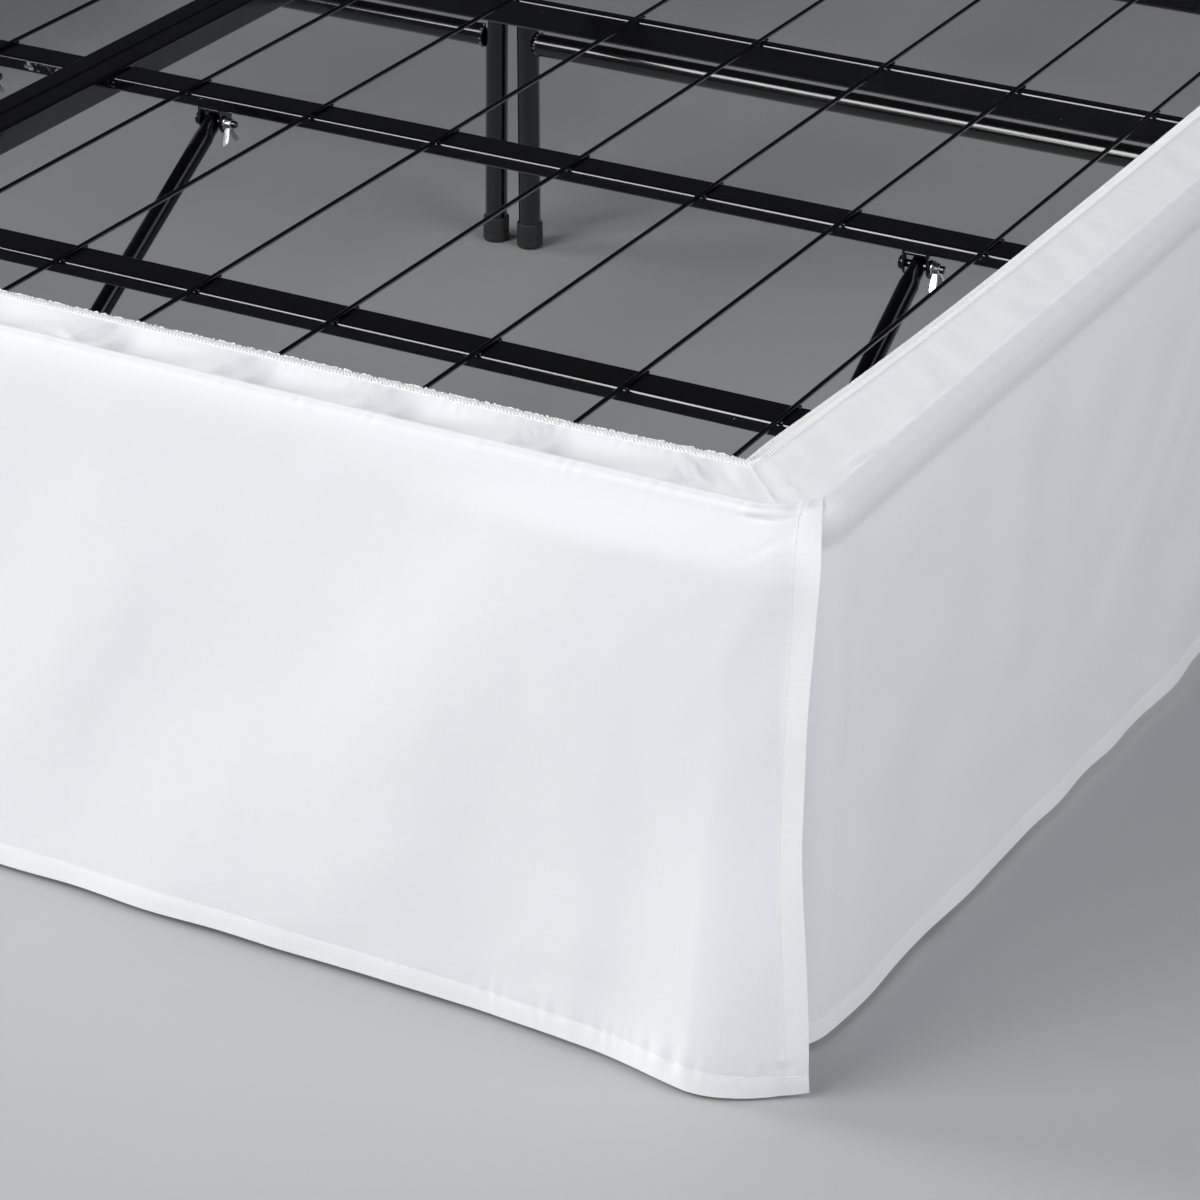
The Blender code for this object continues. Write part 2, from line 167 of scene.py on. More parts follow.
TUCKED = (
    (0.0014, 0.0010),
    (0.0024, 0.0045),
    (0.0055, 0.0080),
    (0.0100, 0.0096),
    (0.0140, 0.0099),
    (0.0175, 0.0100),
)
TUCK_KEYS = (0.0, 0.0030, 0.0063, 0.0123, 0.0190, 0.0280)
TUCK_ANGLES = (69.6, 66.0, 61.0, 51.5, 42.0, 30.0)
BAND_INNER = (
    (0.000, 0.7145),
    (0.330, 0.7140),
    (0.540, 0.7125),
    (0.700, 0.7100),
    (0.820, 0.7058),
    (0.900, 0.7015),
    (0.940, 0.6992),
    (0.969, 0.6985),
)


# ---------------------------------------------------------------- camera
def look(az, el, roll):
    """Right, up and back of a camera, as columns."""
    az, el, roll = math.radians(az), math.radians(el), math.radians(roll)
    fwd = Vector(
        (-math.sin(az) * math.cos(el), math.cos(az) * math.cos(el), -math.sin(el))
    )
    right = Vector((math.cos(az), math.sin(az), 0.0))
    down = fwd.cross(right)
    rolled = right * math.cos(roll) + down * math.sin(roll)
    down = down * math.cos(roll) - right * math.sin(roll)
    return Matrix((rolled, -down, -fwd)).transposed()


eye = bpy.data.cameras.new("camera")
eye.sensor_width = 36.0
eye.lens = 123.78
eye.clip_start, eye.clip_end = 0.05, 60.0
camera = bpy.data.objects.new("camera", eye)
camera.matrix_world = (
    Matrix.Translation((1.6228, -2.8321, 1.3422))
    @ look(28.240, 27.046, -0.412).to_4x4()
)
bpy.context.scene.collection.objects.link(camera)
bpy.context.scene.camera = camera


# ---------------------------------------------------------------- curves
def curve(keys, values, at):
    """A smooth line through (keys, values), read at each of at."""
    keys, values = np.asarray(keys, float), np.asarray(values, float)
    n = len(keys)
    lo, hi = np.maximum(np.arange(n) - 1, 0), np.minimum(np.arange(n) + 1, n - 1)
    slope = (values[hi] - values[lo]) / (keys[hi] - keys[lo])
    at = np.clip(at, keys[0], keys[-1])
    k = np.clip(np.searchsorted(keys, at, side="right") - 1, 0, n - 2)
    step = keys[k + 1] - keys[k]
    t = (at - keys[k]) / step
    return (
        (2 * t**3 - 3 * t**2 + 1) * values[k]
        + (t**3 - 2 * t**2 + t) * step * slope[k]
        + (3 * t**2 - 2 * t**3) * values[k + 1]
        + (t**3 - t**2) * step * slope[k + 1]
    )


def column(table, k):
    return [row[k] for row in table]


def smoothstep(low, high, x):
    t = np.clip((x - low) / (high - low), 0.0, 1.0)
    return t * t * (3 - 2 * t)


def bell(x, width):
    return np.exp(-((x / width) ** 2))


def within(x, low, high, soft):
    return smoothstep(low - soft, low + soft, x) * smoothstep(
        -high - soft, -high + soft, -x
    )


def ridge(u, v, a, b, width, height, soft=0.3, other=None):
    """A rounded ridge along the line a to b that fades at both ends. other
    is its width on the side that lies to the left, going from a to b."""
    run = (b[0] - a[0], b[1] - a[1])
    length = math.hypot(*run)
    along = ((u - a[0]) * run[0] + (v - a[1]) * run[1]) / length**2
    off = ((v - a[1]) * run[0] - (u - a[0]) * run[1]) / length
    ends = smoothstep(-soft, soft, along) * smoothstep(-soft, soft, 1 - along)
    wide = width if other is None else np.where(off > 0, other, width)
    return height * np.exp(-((off / wide) ** 2)) * ends


def rolling(u, v, seed, scale, turn=None, spread=math.pi, count=9):
    """Gentle unevenness, about -1 to 1, whose waves are about scale long and
    run across the direction turn, within spread of it."""
    rng = np.random.default_rng(seed)
    total = 0.0
    for _ in range(count):
        heading = (turn or 0.0) + spread * (rng.random() - 0.5)
        wave = 2 * math.pi / (scale * (0.65 + 0.8 * rng.random()))
        total = total + np.sin(
            wave * (u * math.cos(heading) + v * math.sin(heading))
            + 2 * math.pi * rng.random()
        )
    return total / math.sqrt(count)


def wander(u, seed, scale):
    """The same in one dimension."""
    return rolling(u, np.zeros_like(u), seed, scale, 0.0, 0.0, 5)


def arc_keys(rows):
    """How far along its section each row of a panel's table lies."""
    keys = [0.0]
    for a, b in zip(rows, rows[1:]):
        keys.append(keys[-1] + math.hypot(b[0] - a[0], b[1] - a[1]))
    return np.array(keys)


# ---------------------------------------------------------------- meshes
def made(name, verts, faces, materials, uv=None, values=None, indices=None):
    """A mesh object from points about the bed's middle. values are named
    numbers of each point, for its materials."""
    verts = np.array(verts, float).reshape(-1, 3) + (0.0, MIDDLE_Y, 0.0)
    mesh = bpy.data.meshes.new(name)
    mesh.from_pydata(verts.tolist(), [], faces)
    for m in materials:
        mesh.materials.append(m)
    if indices is not None:
        mesh.polygons.foreach_set("material_index", np.array(indices, np.int32))
    if uv is not None:
        corner = np.zeros(len(mesh.loops), np.int32)
        mesh.loops.foreach_get("vertex_index", corner)
        layer = mesh.uv_layers.new(name="flat")
        layer.data.foreach_set("uv", np.array(uv, np.float32)[corner].ravel())
    for key, numbers in (values or {}).items():
        attribute = mesh.attributes.new(key, "FLOAT", "POINT")
        attribute.data.foreach_set("value", np.array(numbers, np.float32).ravel())
    mesh.shade_smooth()
    mesh.update()
    obj = bpy.data.objects.new(name, mesh)
    bpy.context.scene.collection.objects.link(obj)
    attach(obj, "root")
    return obj


def grid_normals(points, outward):
    across, down = np.gradient(points, axis=1), np.gradient(points, axis=0)
    normal = np.cross(across, down)
    normal /= np.maximum(np.linalg.norm(normal, axis=2, keepdims=True), 1e-12)
    return normal * outward


def sheet_mesh(name, points, uv, front, back, tone, outward):
    """A closed thin sheet on a grid of points, front and back metres thick
    to its outer and inner side."""
    rows, columns, _ = points.shape
    normal = grid_normals(points, outward)
    outer = points + normal * np.broadcast_to(front, points.shape[:2])[..., None]
    inner = points - normal * np.broadcast_to(back, points.shape[:2])[..., None]
    verts = np.concatenate([outer.reshape(-1, 3), inner.reshape(-1, 3)])
    at = np.arange(rows * columns).reshape(rows, columns)
    un = at + rows * columns
    a, b, c, d = at[:-1, :-1], at[:-1, 1:], at[1:, 1:], at[1:, :-1]
    p, q, r, s = un[:-1, :-1], un[:-1, 1:], un[1:, 1:], un[1:, :-1]
    quads = [
        np.stack([a, b, c, d], -1),
        np.stack([p, s, r, q], -1),
        np.stack([at[0, 1:], at[0, :-1], un[0, :-1], un[0, 1:]], -1),
        np.stack([at[-1, :-1], at[-1, 1:], un[-1, 1:], un[-1, :-1]], -1),
        np.stack([at[:-1, 0], at[1:, 0], un[1:, 0], un[:-1, 0]], -1),
        np.stack([at[1:, -1], at[:-1, -1], un[:-1, -1], un[1:, -1]], -1),
    ]
    faces = np.concatenate([x.reshape(-1, 4) for x in quads])
    if outward < 0:
        faces = faces[:, ::-1]
    both = np.concatenate([uv.reshape(-1, 2)] * 2)
    tones = np.broadcast_to(tone, points.shape[:2]).ravel()
    obj = made(
        name,
        verts,
        faces.tolist(),
        [COTTON],
        uv=both,
        values={"tone": np.concatenate([tones, tones])},
    )
    obj.data.set_sharp_from_angle(angle=math.radians(62))
    return obj, outer, normal


def swept(paths, radius, sides, twist=0.0):
    """Tubes along paths, an array of lines x points x 3, closed by a point
    at each end. Returns points and faces."""
    paths = np.asarray(paths, float)
    lines, n, _ = paths.shape
    radius = np.broadcast_to(radius, (lines, n))
    along = np.gradient(paths, axis=1)
    along /= np.maximum(np.linalg.norm(along, axis=2, keepdims=True), 1e-12)
    guide = np.where(
        np.abs(along[..., 2:3]) < 0.8, [[[0.0, 0.0, 1.0]]], [[[1.0, 0.0, 0.0]]]
    )
    side = np.cross(along, guide)
    side /= np.linalg.norm(side, axis=2, keepdims=True)
    lift = np.cross(side, along)
    angle = 2 * np.pi * np.arange(sides) / sides + twist
    ring = (
        paths[:, :, None]
        + radius[..., None, None]
        * (
            side[:, :, None] * np.cos(angle)[None, None, :, None]
            + lift[:, :, None] * np.sin(angle)[None, None, :, None]
        )
    )
    verts = ring.reshape(-1, 3)
    base = np.arange(lines)[:, None, None] * n * sides
    k = np.arange(n - 1)[None, :, None] * sides
    j = np.arange(sides)[None, None, :]
    j2 = (j + 1) % sides
    quads = np.stack(
        [base + k + j, base + k + j2, base + k + sides + j2, base + k + sides + j], -1
    ).reshape(-1, 4)
    faces = quads.tolist()
    first = (np.arange(lines)[:, None] * n * sides + np.arange(sides)[::-1]).tolist()
    last = (
        np.arange(lines)[:, None] * n * sides + (n - 1) * sides + np.arange(sides)
    ).tolist()
    return verts, faces + first + last


class Steel:
    """Collects shapes into one mesh."""

    def __init__(self):
        self.verts, self.faces, self.which, self.wear = [], [], [], []

    def put(self, verts, faces, which=0, wear=0.0):
        base = len(self.verts)
        verts = np.asarray(verts, float).reshape(-1, 3)
        self.verts.extend(verts.tolist())
        self.faces.extend([[base + i for i in face] for face in faces])
        self.which.extend([which] * len(faces))
        self.wear.extend(np.broadcast_to(wear, len(verts)).tolist())

    def bm(self, mesh, which=0, wear=0.0):
        mesh.verts.index_update()
        self.put(
            [v.co[:] for v in mesh.verts],
            [[v.index for v in f.verts] for f in mesh.faces],
            which,
            wear,
        )
        mesh.free()

    def box(self, low, high, radius=0.0018, segments=3, which=0, wear=0.0, turn=None):
        """A box with rounded edges."""
        lo = [min(a, b) for a, b in zip(low, high)]
        hi = [max(a, b) for a, b in zip(low, high)]
        mesh = bmesh.new()
        bmesh.ops.create_cube(mesh, size=1.0)
        for v in mesh.verts:
            v.co = [c * (b - a) for c, a, b in zip(v.co, lo, hi)]
        bmesh.ops.bevel(
            mesh,
            geom=mesh.edges[:],
            offset=radius,
            segments=segments,
            profile=0.5,
            affect="EDGES",
        )
        place = Matrix.Translation([(a + b) / 2 for a, b in zip(lo, hi)])
        if turn is not None:
            place = place @ turn.to_4x4()
        bmesh.ops.transform(mesh, matrix=place, verts=mesh.verts[:])
        self.bm(mesh, which, wear)

    def lathe(self, start, end, profile, sides=24, which=0, wear=0.0):
        """A turned shape from start to end. profile is (distance, radius)."""
        start, end = Vector(start), Vector(end)
        axis = (end - start).normalized()
        side = axis.orthogonal().normalized()
        lift = axis.cross(side)
        turns = [2 * math.pi * k / sides for k in range(sides)]
        verts = [
            start + axis * d + (side * math.cos(t) + lift * math.sin(t)) * r
            for d, r in profile
            for t in turns
        ]
        faces = [
            (
                k * sides + j,
                k * sides + (j + 1) % sides,
                (k + 1) * sides + (j + 1) % sides,
                (k + 1) * sides + j,
            )
            for k in range(len(profile) - 1)
            for j in range(sides)
        ]
        faces.append(list(reversed(range(sides))))
        faces.append([(len(profile) - 1) * sides + j for j in range(sides)])
        self.put(verts, faces, which, wear)

    def blob(self, at, size, which=0, wear=0.0, seed=0, rings=4, sides=8):
        """A lump of weld."""
        rng = np.random.default_rng(seed)
        mesh = bmesh.new()
        bmesh.ops.create_uvsphere(
            mesh, u_segments=sides, v_segments=rings, radius=1.0
        )
        for v in mesh.verts:
            v.co *= 1.0 + 0.16 * (rng.random() - 0.5)
            v.co = [c * s + p for c, s, p in zip(v.co, size, at)]
        self.bm(mesh, which, wear)

    def plate(self, outline, thick, place, radius=0.0004, which=0, wear=0.0):
        """A flat plate of an outline in X and Y, thick in Z, put by a matrix."""
        mesh = bmesh.new()
        verts = [mesh.verts.new((x, y, -thick / 2)) for x, y in outline]
        face = mesh.faces.new(verts)
        grown = bmesh.ops.extrude_face_region(mesh, geom=[face])
        moved = [g for g in grown["geom"] if isinstance(g, bmesh.types.BMVert)]
        bmesh.ops.translate(mesh, verts=moved, vec=(0, 0, thick))
        bmesh.ops.recalc_face_normals(mesh, faces=mesh.faces[:])
        rim = [e for e in mesh.edges if abs(e.verts[0].co.z - e.verts[1].co.z) < 1e-7]
        bmesh.ops.bevel(
            mesh, geom=rim, offset=radius, segments=2, profile=0.5, affect="EDGES"
        )
        bmesh.ops.transform(mesh, matrix=place, verts=mesh.verts[:])
        self.bm(mesh, which, wear)

    def build(self, name, materials, node):
        obj = made(
            name,
            self.verts,
            self.faces,
            materials,
            values={"wear": self.wear},
            indices=self.which,
        )
        obj.data.set_sharp_from_angle(angle=math.radians(52))
        even = obj.modifiers.new("even_shading", "WEIGHTED_NORMAL")
        even.keep_sharp = True
        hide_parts(node)
        return obj


# ---------------------------------------------------------------- materials
def material(name, colour, roughness, metallic=0.0, **more):
    m = bpy.data.materials.new(name)
    m.use_nodes = True
    tree = m.node_tree
    shader = tree.nodes["Principled BSDF"]
    shader.inputs["Base Color"].default_value = (*colour, 1.0)
    shader.inputs["Roughness"].default_value = roughness
    shader.inputs["Metallic"].default_value = metallic
    for key, value in more.items():
        shader.inputs[key.replace("_", " ")].default_value = value
    return m, tree, shader


class Nodes:
    """Short ways to add nodes to a material."""

    def __init__(self, tree):
        self.tree = tree

    def new(self, kind, **settings):
        node = self.tree.nodes.new(kind)
        for key, value in settings.items():
            setattr(node, key, value)
        return node

    def link(self, a, b):
        self.tree.links.new(a, b)

    def math(self, operation, a, b=None, c=None):
        node = self.new("ShaderNodeMath", operation=operation)
        for k, value in enumerate((a, b, c)):
            if value is None:
                continue
            if isinstance(value, (int, float)):
                node.inputs[k].default_value = value
            else:
                self.link(value, node.inputs[k])
        return node.outputs[0]

    def scaled(self, vector, x, y, z):
        node = self.new("ShaderNodeMapping")
        node.inputs["Scale"].default_value = (x, y, z)
        self.link(vector, node.inputs["Vector"])
        return node.outputs[0]

    def noise(self, vector, scale, detail=2.0, roughness=0.5, distortion=0.0):
        node = self.new("ShaderNodeTexNoise")
        node.inputs["Scale"].default_value = scale
        node.inputs["Detail"].default_value = detail
        node.inputs["Roughness"].default_value = roughness
        node.inputs["Distortion"].default_value = distortion
        self.link(vector, node.inputs["Vector"])
        return node.outputs["Fac"]

    def ramp(self, value, low, high, to_low, to_high):
        node = self.new("ShaderNodeMapRange")
        for k, number in zip(
            ("From Min", "From Max", "To Min", "To Max"), (low, high, to_low, to_high)
        ):
            node.inputs[k].default_value = number
        self.link(value, node.inputs["Value"])
        return node.outputs["Result"]

    def mixed(self, factor, a, b):
        node = self.new("ShaderNodeMix", data_type="RGBA")
        self.link(factor, node.inputs[0])
        for socket, value in ((node.inputs[6], a), (node.inputs[7], b)):
            if isinstance(value, tuple):
                socket.default_value = (*value, 1.0)
            else:
                self.link(value, socket)
        return node.outputs[2]

    def bump(self, height, strength, distance, below=None):
        node = self.new("ShaderNodeBump")
        node.inputs["Strength"].default_value = strength
        node.inputs["Distance"].default_value = distance
        self.link(height, node.inputs["Height"])
        if below is not None:
            self.link(below, node.inputs["Normal"])
        return node.outputs["Normal"]


def cotton():
    """White plain-weave sheeting, its threads following the flat cut."""
    m, tree, shader = material(
        "white_cotton",
        (0.80, 0.81, 0.83),
        0.86,
        Sheen_Weight=0.18,
        Sheen_Roughness=0.55,
        Specular_IOR_Level=0.22,
    )
    n = Nodes(tree)
    uv = n.new("ShaderNodeUVMap", uv_map="flat").outputs[0]
    axes = n.new("ShaderNodeSeparateXYZ")
    n.link(uv, axes.inputs[0])
    # threads that wander a little, 0.42 mm apart
    sway = n.noise(uv, 130.0, 1.0)
    thread = 2 * math.pi / 0.00042
    u = n.math("MULTIPLY_ADD", axes.outputs[0], thread, n.math("MULTIPLY", sway, 5.0))
    v = n.math("MULTIPLY_ADD", axes.outputs[1], thread, n.math("MULTIPLY", sway, 5.0))
    weave = n.math("MULTIPLY", n.math("SINE", u), n.math("SINE", v))
    # slubs: thicker stretches of single threads, both ways
    along = n.noise(n.scaled(uv, 42.0, 1250.0, 1.0), 1.0, 2.0, 0.6)
    across = n.noise(n.scaled(uv, 1250.0, 42.0, 1.0), 1.0, 2.0, 0.6)
    slub = n.math("ADD", along, across)
    height = n.math("MULTIPLY_ADD", weave, 0.35, n.math("MULTIPLY", slub, 0.55))
    crumple = n.noise(uv, 26.0, 3.0, 0.55)
    fine = n.bump(height, 0.22, 0.00022)
    soft = n.bump(crumple, 0.10, 0.004, fine)
    n.link(soft, shader.inputs["Normal"])
    # the doubled hems hide more of what is behind them, so they look whiter
    tone = n.new("ShaderNodeAttribute", attribute_name="tone").outputs["Fac"]
    single = n.mixed(
        n.ramp(slub, 0.7, 1.3, 0.0, 1.0), (0.775, 0.788, 0.812), (0.795, 0.807, 0.829)
    )
    double = n.mixed(
        n.ramp(slub, 0.7, 1.3, 0.0, 1.0), (0.820, 0.830, 0.848), (0.850, 0.859, 0.875)
    )
    n.link(n.mixed(tone, single, double), shader.inputs["Base Color"])
    n.link(n.ramp(slub, 0.6, 1.4, 0.80, 0.92), shader.inputs["Roughness"])
    return m


def thread():
    """Polyester sewing thread, with its twist."""
    m, tree, shader = material(
        "white_thread", (0.90, 0.905, 0.915), 0.6, Sheen_Weight=0.2, Sheen_Roughness=0.4
    )
    n = Nodes(tree)
    at = n.new("ShaderNodeTexCoord").outputs["Object"]
    twist = n.noise(at, 2600.0, 1.0)
    n.link(
        n.mixed(twist, (0.86, 0.865, 0.88), (0.92, 0.925, 0.935)),
        shader.inputs["Base Color"],
    )
    n.link(n.bump(twist, 0.4, 0.0002), shader.inputs["Normal"])
    return m


def powder_coat(name, coat):
    """Semi-gloss black powder coat, worn to pale steel where wear says so.
    coat is how much of it is glossy."""
    m, tree, shader = material(
        name,
        (0.005, 0.005, 0.006),
        0.22,
        Specular_IOR_Level=0.14 + 0.28 * coat,
        Coat_Weight=coat,
        Coat_Roughness=0.07,
    )
    n = Nodes(tree)
    at = n.new("ShaderNodeTexCoord").outputs["Object"]
    peel = n.noise(at, 620.0, 2.0, 0.5)
    cloud = n.noise(at, 14.0, 4.0, 0.62)
    speck = n.noise(at, 330.0, 3.0, 0.7)
    worn = n.new("ShaderNodeAttribute", attribute_name="wear").outputs["Fac"]
    mask = n.ramp(
        n.math("ADD", speck, n.math("MULTIPLY", worn, 0.52)), 0.86, 0.98, 0.0, 1.0
    )
    clamp = n.math("MAXIMUM", n.math("MINIMUM", mask, 1.0), 0.0)
    paint = n.mixed(cloud, (0.0014, 0.0014, 0.0020), (0.0034, 0.0034, 0.0044))
    n.link(n.mixed(clamp, paint, (0.30, 0.30, 0.295)), shader.inputs["Base Color"])
    gloss = n.ramp(cloud, 0.25, 0.75, 0.15, 0.25)
    rough = n.math("MULTIPLY_ADD", clamp, 0.25, gloss)
    n.link(rough, shader.inputs["Roughness"])
    n.link(n.bump(peel, 0.16, 0.00035), shader.inputs["Normal"])
    return m


def plastic():
    """Moulded black plastic foot caps."""
    m, tree, shader = material("black_plastic", (0.020, 0.020, 0.021), 0.5)
    n = Nodes(tree)
    at = n.new("ShaderNodeTexCoord").outputs["Object"]
    grain = n.noise(at, 1500.0, 2.0)
    scuff = n.noise(n.scaled(at, 1.0, 1.0, 6.0), 90.0, 3.0, 0.7)
    n.link(
        n.mixed(scuff, (0.014, 0.014, 0.015), (0.032, 0.032, 0.033)),
        shader.inputs["Base Color"],
    )
    n.link(n.ramp(scuff, 0.3, 0.7, 0.42, 0.62), shader.inputs["Roughness"])
    n.link(n.bump(grain, 0.2, 0.0002), shader.inputs["Normal"])
    return m


def zinc():
    """Bright zinc plate on the wing nuts."""
    m, tree, shader = material("zinc_plate", (0.70, 0.71, 0.72), 0.24, 1.0)
    n = Nodes(tree)
    at = n.new("ShaderNodeTexCoord").outputs["Object"]
    cloud = n.noise(at, 240.0, 3.0, 0.6)
    grain = n.noise(at, 2200.0, 2.0)
    n.link(
        n.mixed(cloud, (0.56, 0.58, 0.60), (0.80, 0.81, 0.81)),
        shader.inputs["Base Color"],
    )
    n.link(n.ramp(cloud, 0.3, 0.7, 0.16, 0.36), shader.inputs["Roughness"])
    n.link(n.bump(grain, 0.12, 0.00015), shader.inputs["Normal"])
    return m


COTTON, THREAD = cotton(), thread()
BLACK = powder_coat("black_powder_coat", 1.0)
DULL = powder_coat("dull_powder_coat", 0.08)
PLASTIC, ZINC = plastic(), zinc()


# ---------------------------------------------------------------- cloth
def corner_point(angle, out=0.0):
    """A point on the seam's rounding at a corner, or outside it; 0 degrees
    is where the foot's straight stretch ends."""
    turn = np.radians(angle)
    across, along = CORNER
    fx, fy = along * np.sin(turn), across * np.cos(turn)
    size = np.hypot(fx, fy)
    x = HALF_W - across + across * np.sin(turn) + out * fx / size
    y = HALF_L - along + along * np.cos(turn) + out * fy / size
    return x, y


def side_seam(y):
    t = np.clip((HALF_L - 0.09 - np.abs(y)) / 0.42, 0.0, 1.0)
    return HALF_W + BULGE_W * t * t * (3 - 2 * t)


def dip(x, d):
    """How far the end band sinks between its wires, 0 to 1, at x and d from
    its inner edge. It drops from a crease left of each wire, which slants
    further left towards the seam, and climbs slowly to the next one."""
    places = [WIRE_FIRST + WIRE_PITCH * i for i in range(WIRES)]
    stops = [-0.7437] + [-p for p in reversed(places)] + places + [0.7437]
    depths = [0.3] + [0.9] * (WIRES + 2) + [1.0, 1.0, 1.0, 0.95, 0.8, 0.3]
    slant = 0.0060 + 0.0130 * smoothstep(0.012, 0.047, d)
    total = 0.0
    for a, b, depth in zip(stops, stops[1:], depths):
        share = (x + slant - a) / (b - a)
        fall = 0.47 * smoothstep(0.0, 0.0038, x + slant - a)
        fall = fall + 0.53 * smoothstep(0.0015, 0.0170, x - a)
        one = fall * (1 - smoothstep(0.28, 1.0, share))
        total = total + depth * one * (share > 0) * (share < 1)
    return total * (1 - smoothstep(0.688, 0.708, np.abs(x)))


def seam_floor(x):
    """How far an end band's edge at the seam lies below the bands' level."""
    near = 1 - smoothstep(0.700, 0.735, np.abs(x))
    return (0.0003 + 0.0004 * dip(x, 0.047)) * near


def spaced(*stretches):
    """Stations from the first number on, in stretches of (end, step)."""
    at = [stretches[0]]
    for end, step in stretches[1:]:
        n = max(1, round(abs(end - at[-1]) / step))
        at += list(np.linspace(at[-1], end, n + 1)[1:])
    return np.array(at)


def puckers(u, seed, pitch=0.0112):
    """Small ripples along a stitched line, uneven in size and spacing."""
    drift = wander(u, seed, 0.06)
    size = 0.62 + 0.34 * wander(u, seed + 1, 0.050)
    return np.sin(2 * np.pi * u / pitch + 2.2 * drift) * np.clip(size, 0.15, 1.2)


FOOT_KEYS, SIDE_KEYS = arc_keys(FOOT_ROWS), arc_keys(SIDE_ROWS)
LAP = 0.0012
LAP_UP = 0.00060


def lapped(points, s, hold=1.0, sink=0.0):
    """Turns a panel's top edge in, to lie on the band's, sink below its own.
    hold is 0 where it isn't sewn."""
    first = int(np.argmin(np.abs(s)))
    inward = points[first] - points[first + 3]
    inward[:, 2] = 0.0
    inward /= np.linalg.norm(inward, axis=1, keepdims=True)
    hold = np.broadcast_to(hold, len(inward))
    for k in range(first):
        points[k] = points[first] + inward * (-s[k] * hold)[:, None]
    up = LAP_UP * (1 - smoothstep(0.0, 0.0045, s))[:, None] * hold[None, :]
    points[..., 2] += up
    points[..., 2] -= smoothstep(0.0, LAP, -s)[:, None] * sink
    return points


def foot_folds(u, drop):
    """How far the foot panel's face stands out from its even shape. u runs
    along the seam from the bed's middle."""
    out = 0.0
    for a, b, width, other, height in (
        # from, to, width above left, width below right, height
        ((0.245, 0.270), (0.345, 0.100), 0.036, 0.040, 0.0026),
        ((0.205, 0.190), (0.262, 0.070), 0.024, 0.024, -0.0009),
        ((0.345, 0.400), (0.705, -0.010), 0.090, 0.150, 0.0115),
        ((0.420, 0.350), (0.520, 0.260), 0.030, 0.040, 0.0016),
        ((0.700, 0.370), (0.766, 0.210), 0.045, 0.040, 0.0048),
        ((0.300, 0.350), (0.400, 0.240), 0.060, 0.060, 0.0012),
        ((0.380, 0.150), (0.500, 0.040), 0.040, 0.050, 0.0012),
        ((0.610, 0.345), (0.650, 0.260), 0.040, 0.030, 0.0012),
        ((0.664, 0.300), (0.694, 0.245), 0.024, 0.024, 0.0010),
        ((0.735, 0.352), (0.756, 0.275), 0.016, 0.012, 0.0012),
        ((0.738, 0.120), (0.770, 0.028), 0.018, 0.012, -0.0010),
        ((0.724, 0.090), (0.763, 0.018), 0.010, 0.007, 0.0006),
        # the rest of the panel's length
        ((-0.720, 0.300), (-0.500, 0.060), 0.090, 0.070, 0.0050),
        ((-0.420, 0.340), (-0.270, 0.090), 0.060, 0.050, 0.0034),
        ((-0.180, 0.320), (-0.060, 0.110), 0.060, 0.045, 0.0028),
        ((-0.030, 0.300), (0.130, 0.060), 0.070, 0.055, 0.0034),
        ((0.090, 0.340), (0.190, 0.170), 0.040, 0.030, 0.0018),
    ):
        out = out + ridge(u, drop, a, b, width, height, 0.35, other)
    out = out * smoothstep(0.004, 0.040, drop)
    fade = smoothstep(0.0, 0.05, drop)
    out = out + 0.0003 * fade * rolling(u, drop, 11, 0.17, 0.75, 0.9)
    out = out + 0.00008 * fade * rolling(u, drop, 12, 0.045, 0.8, 2.2)
    return out


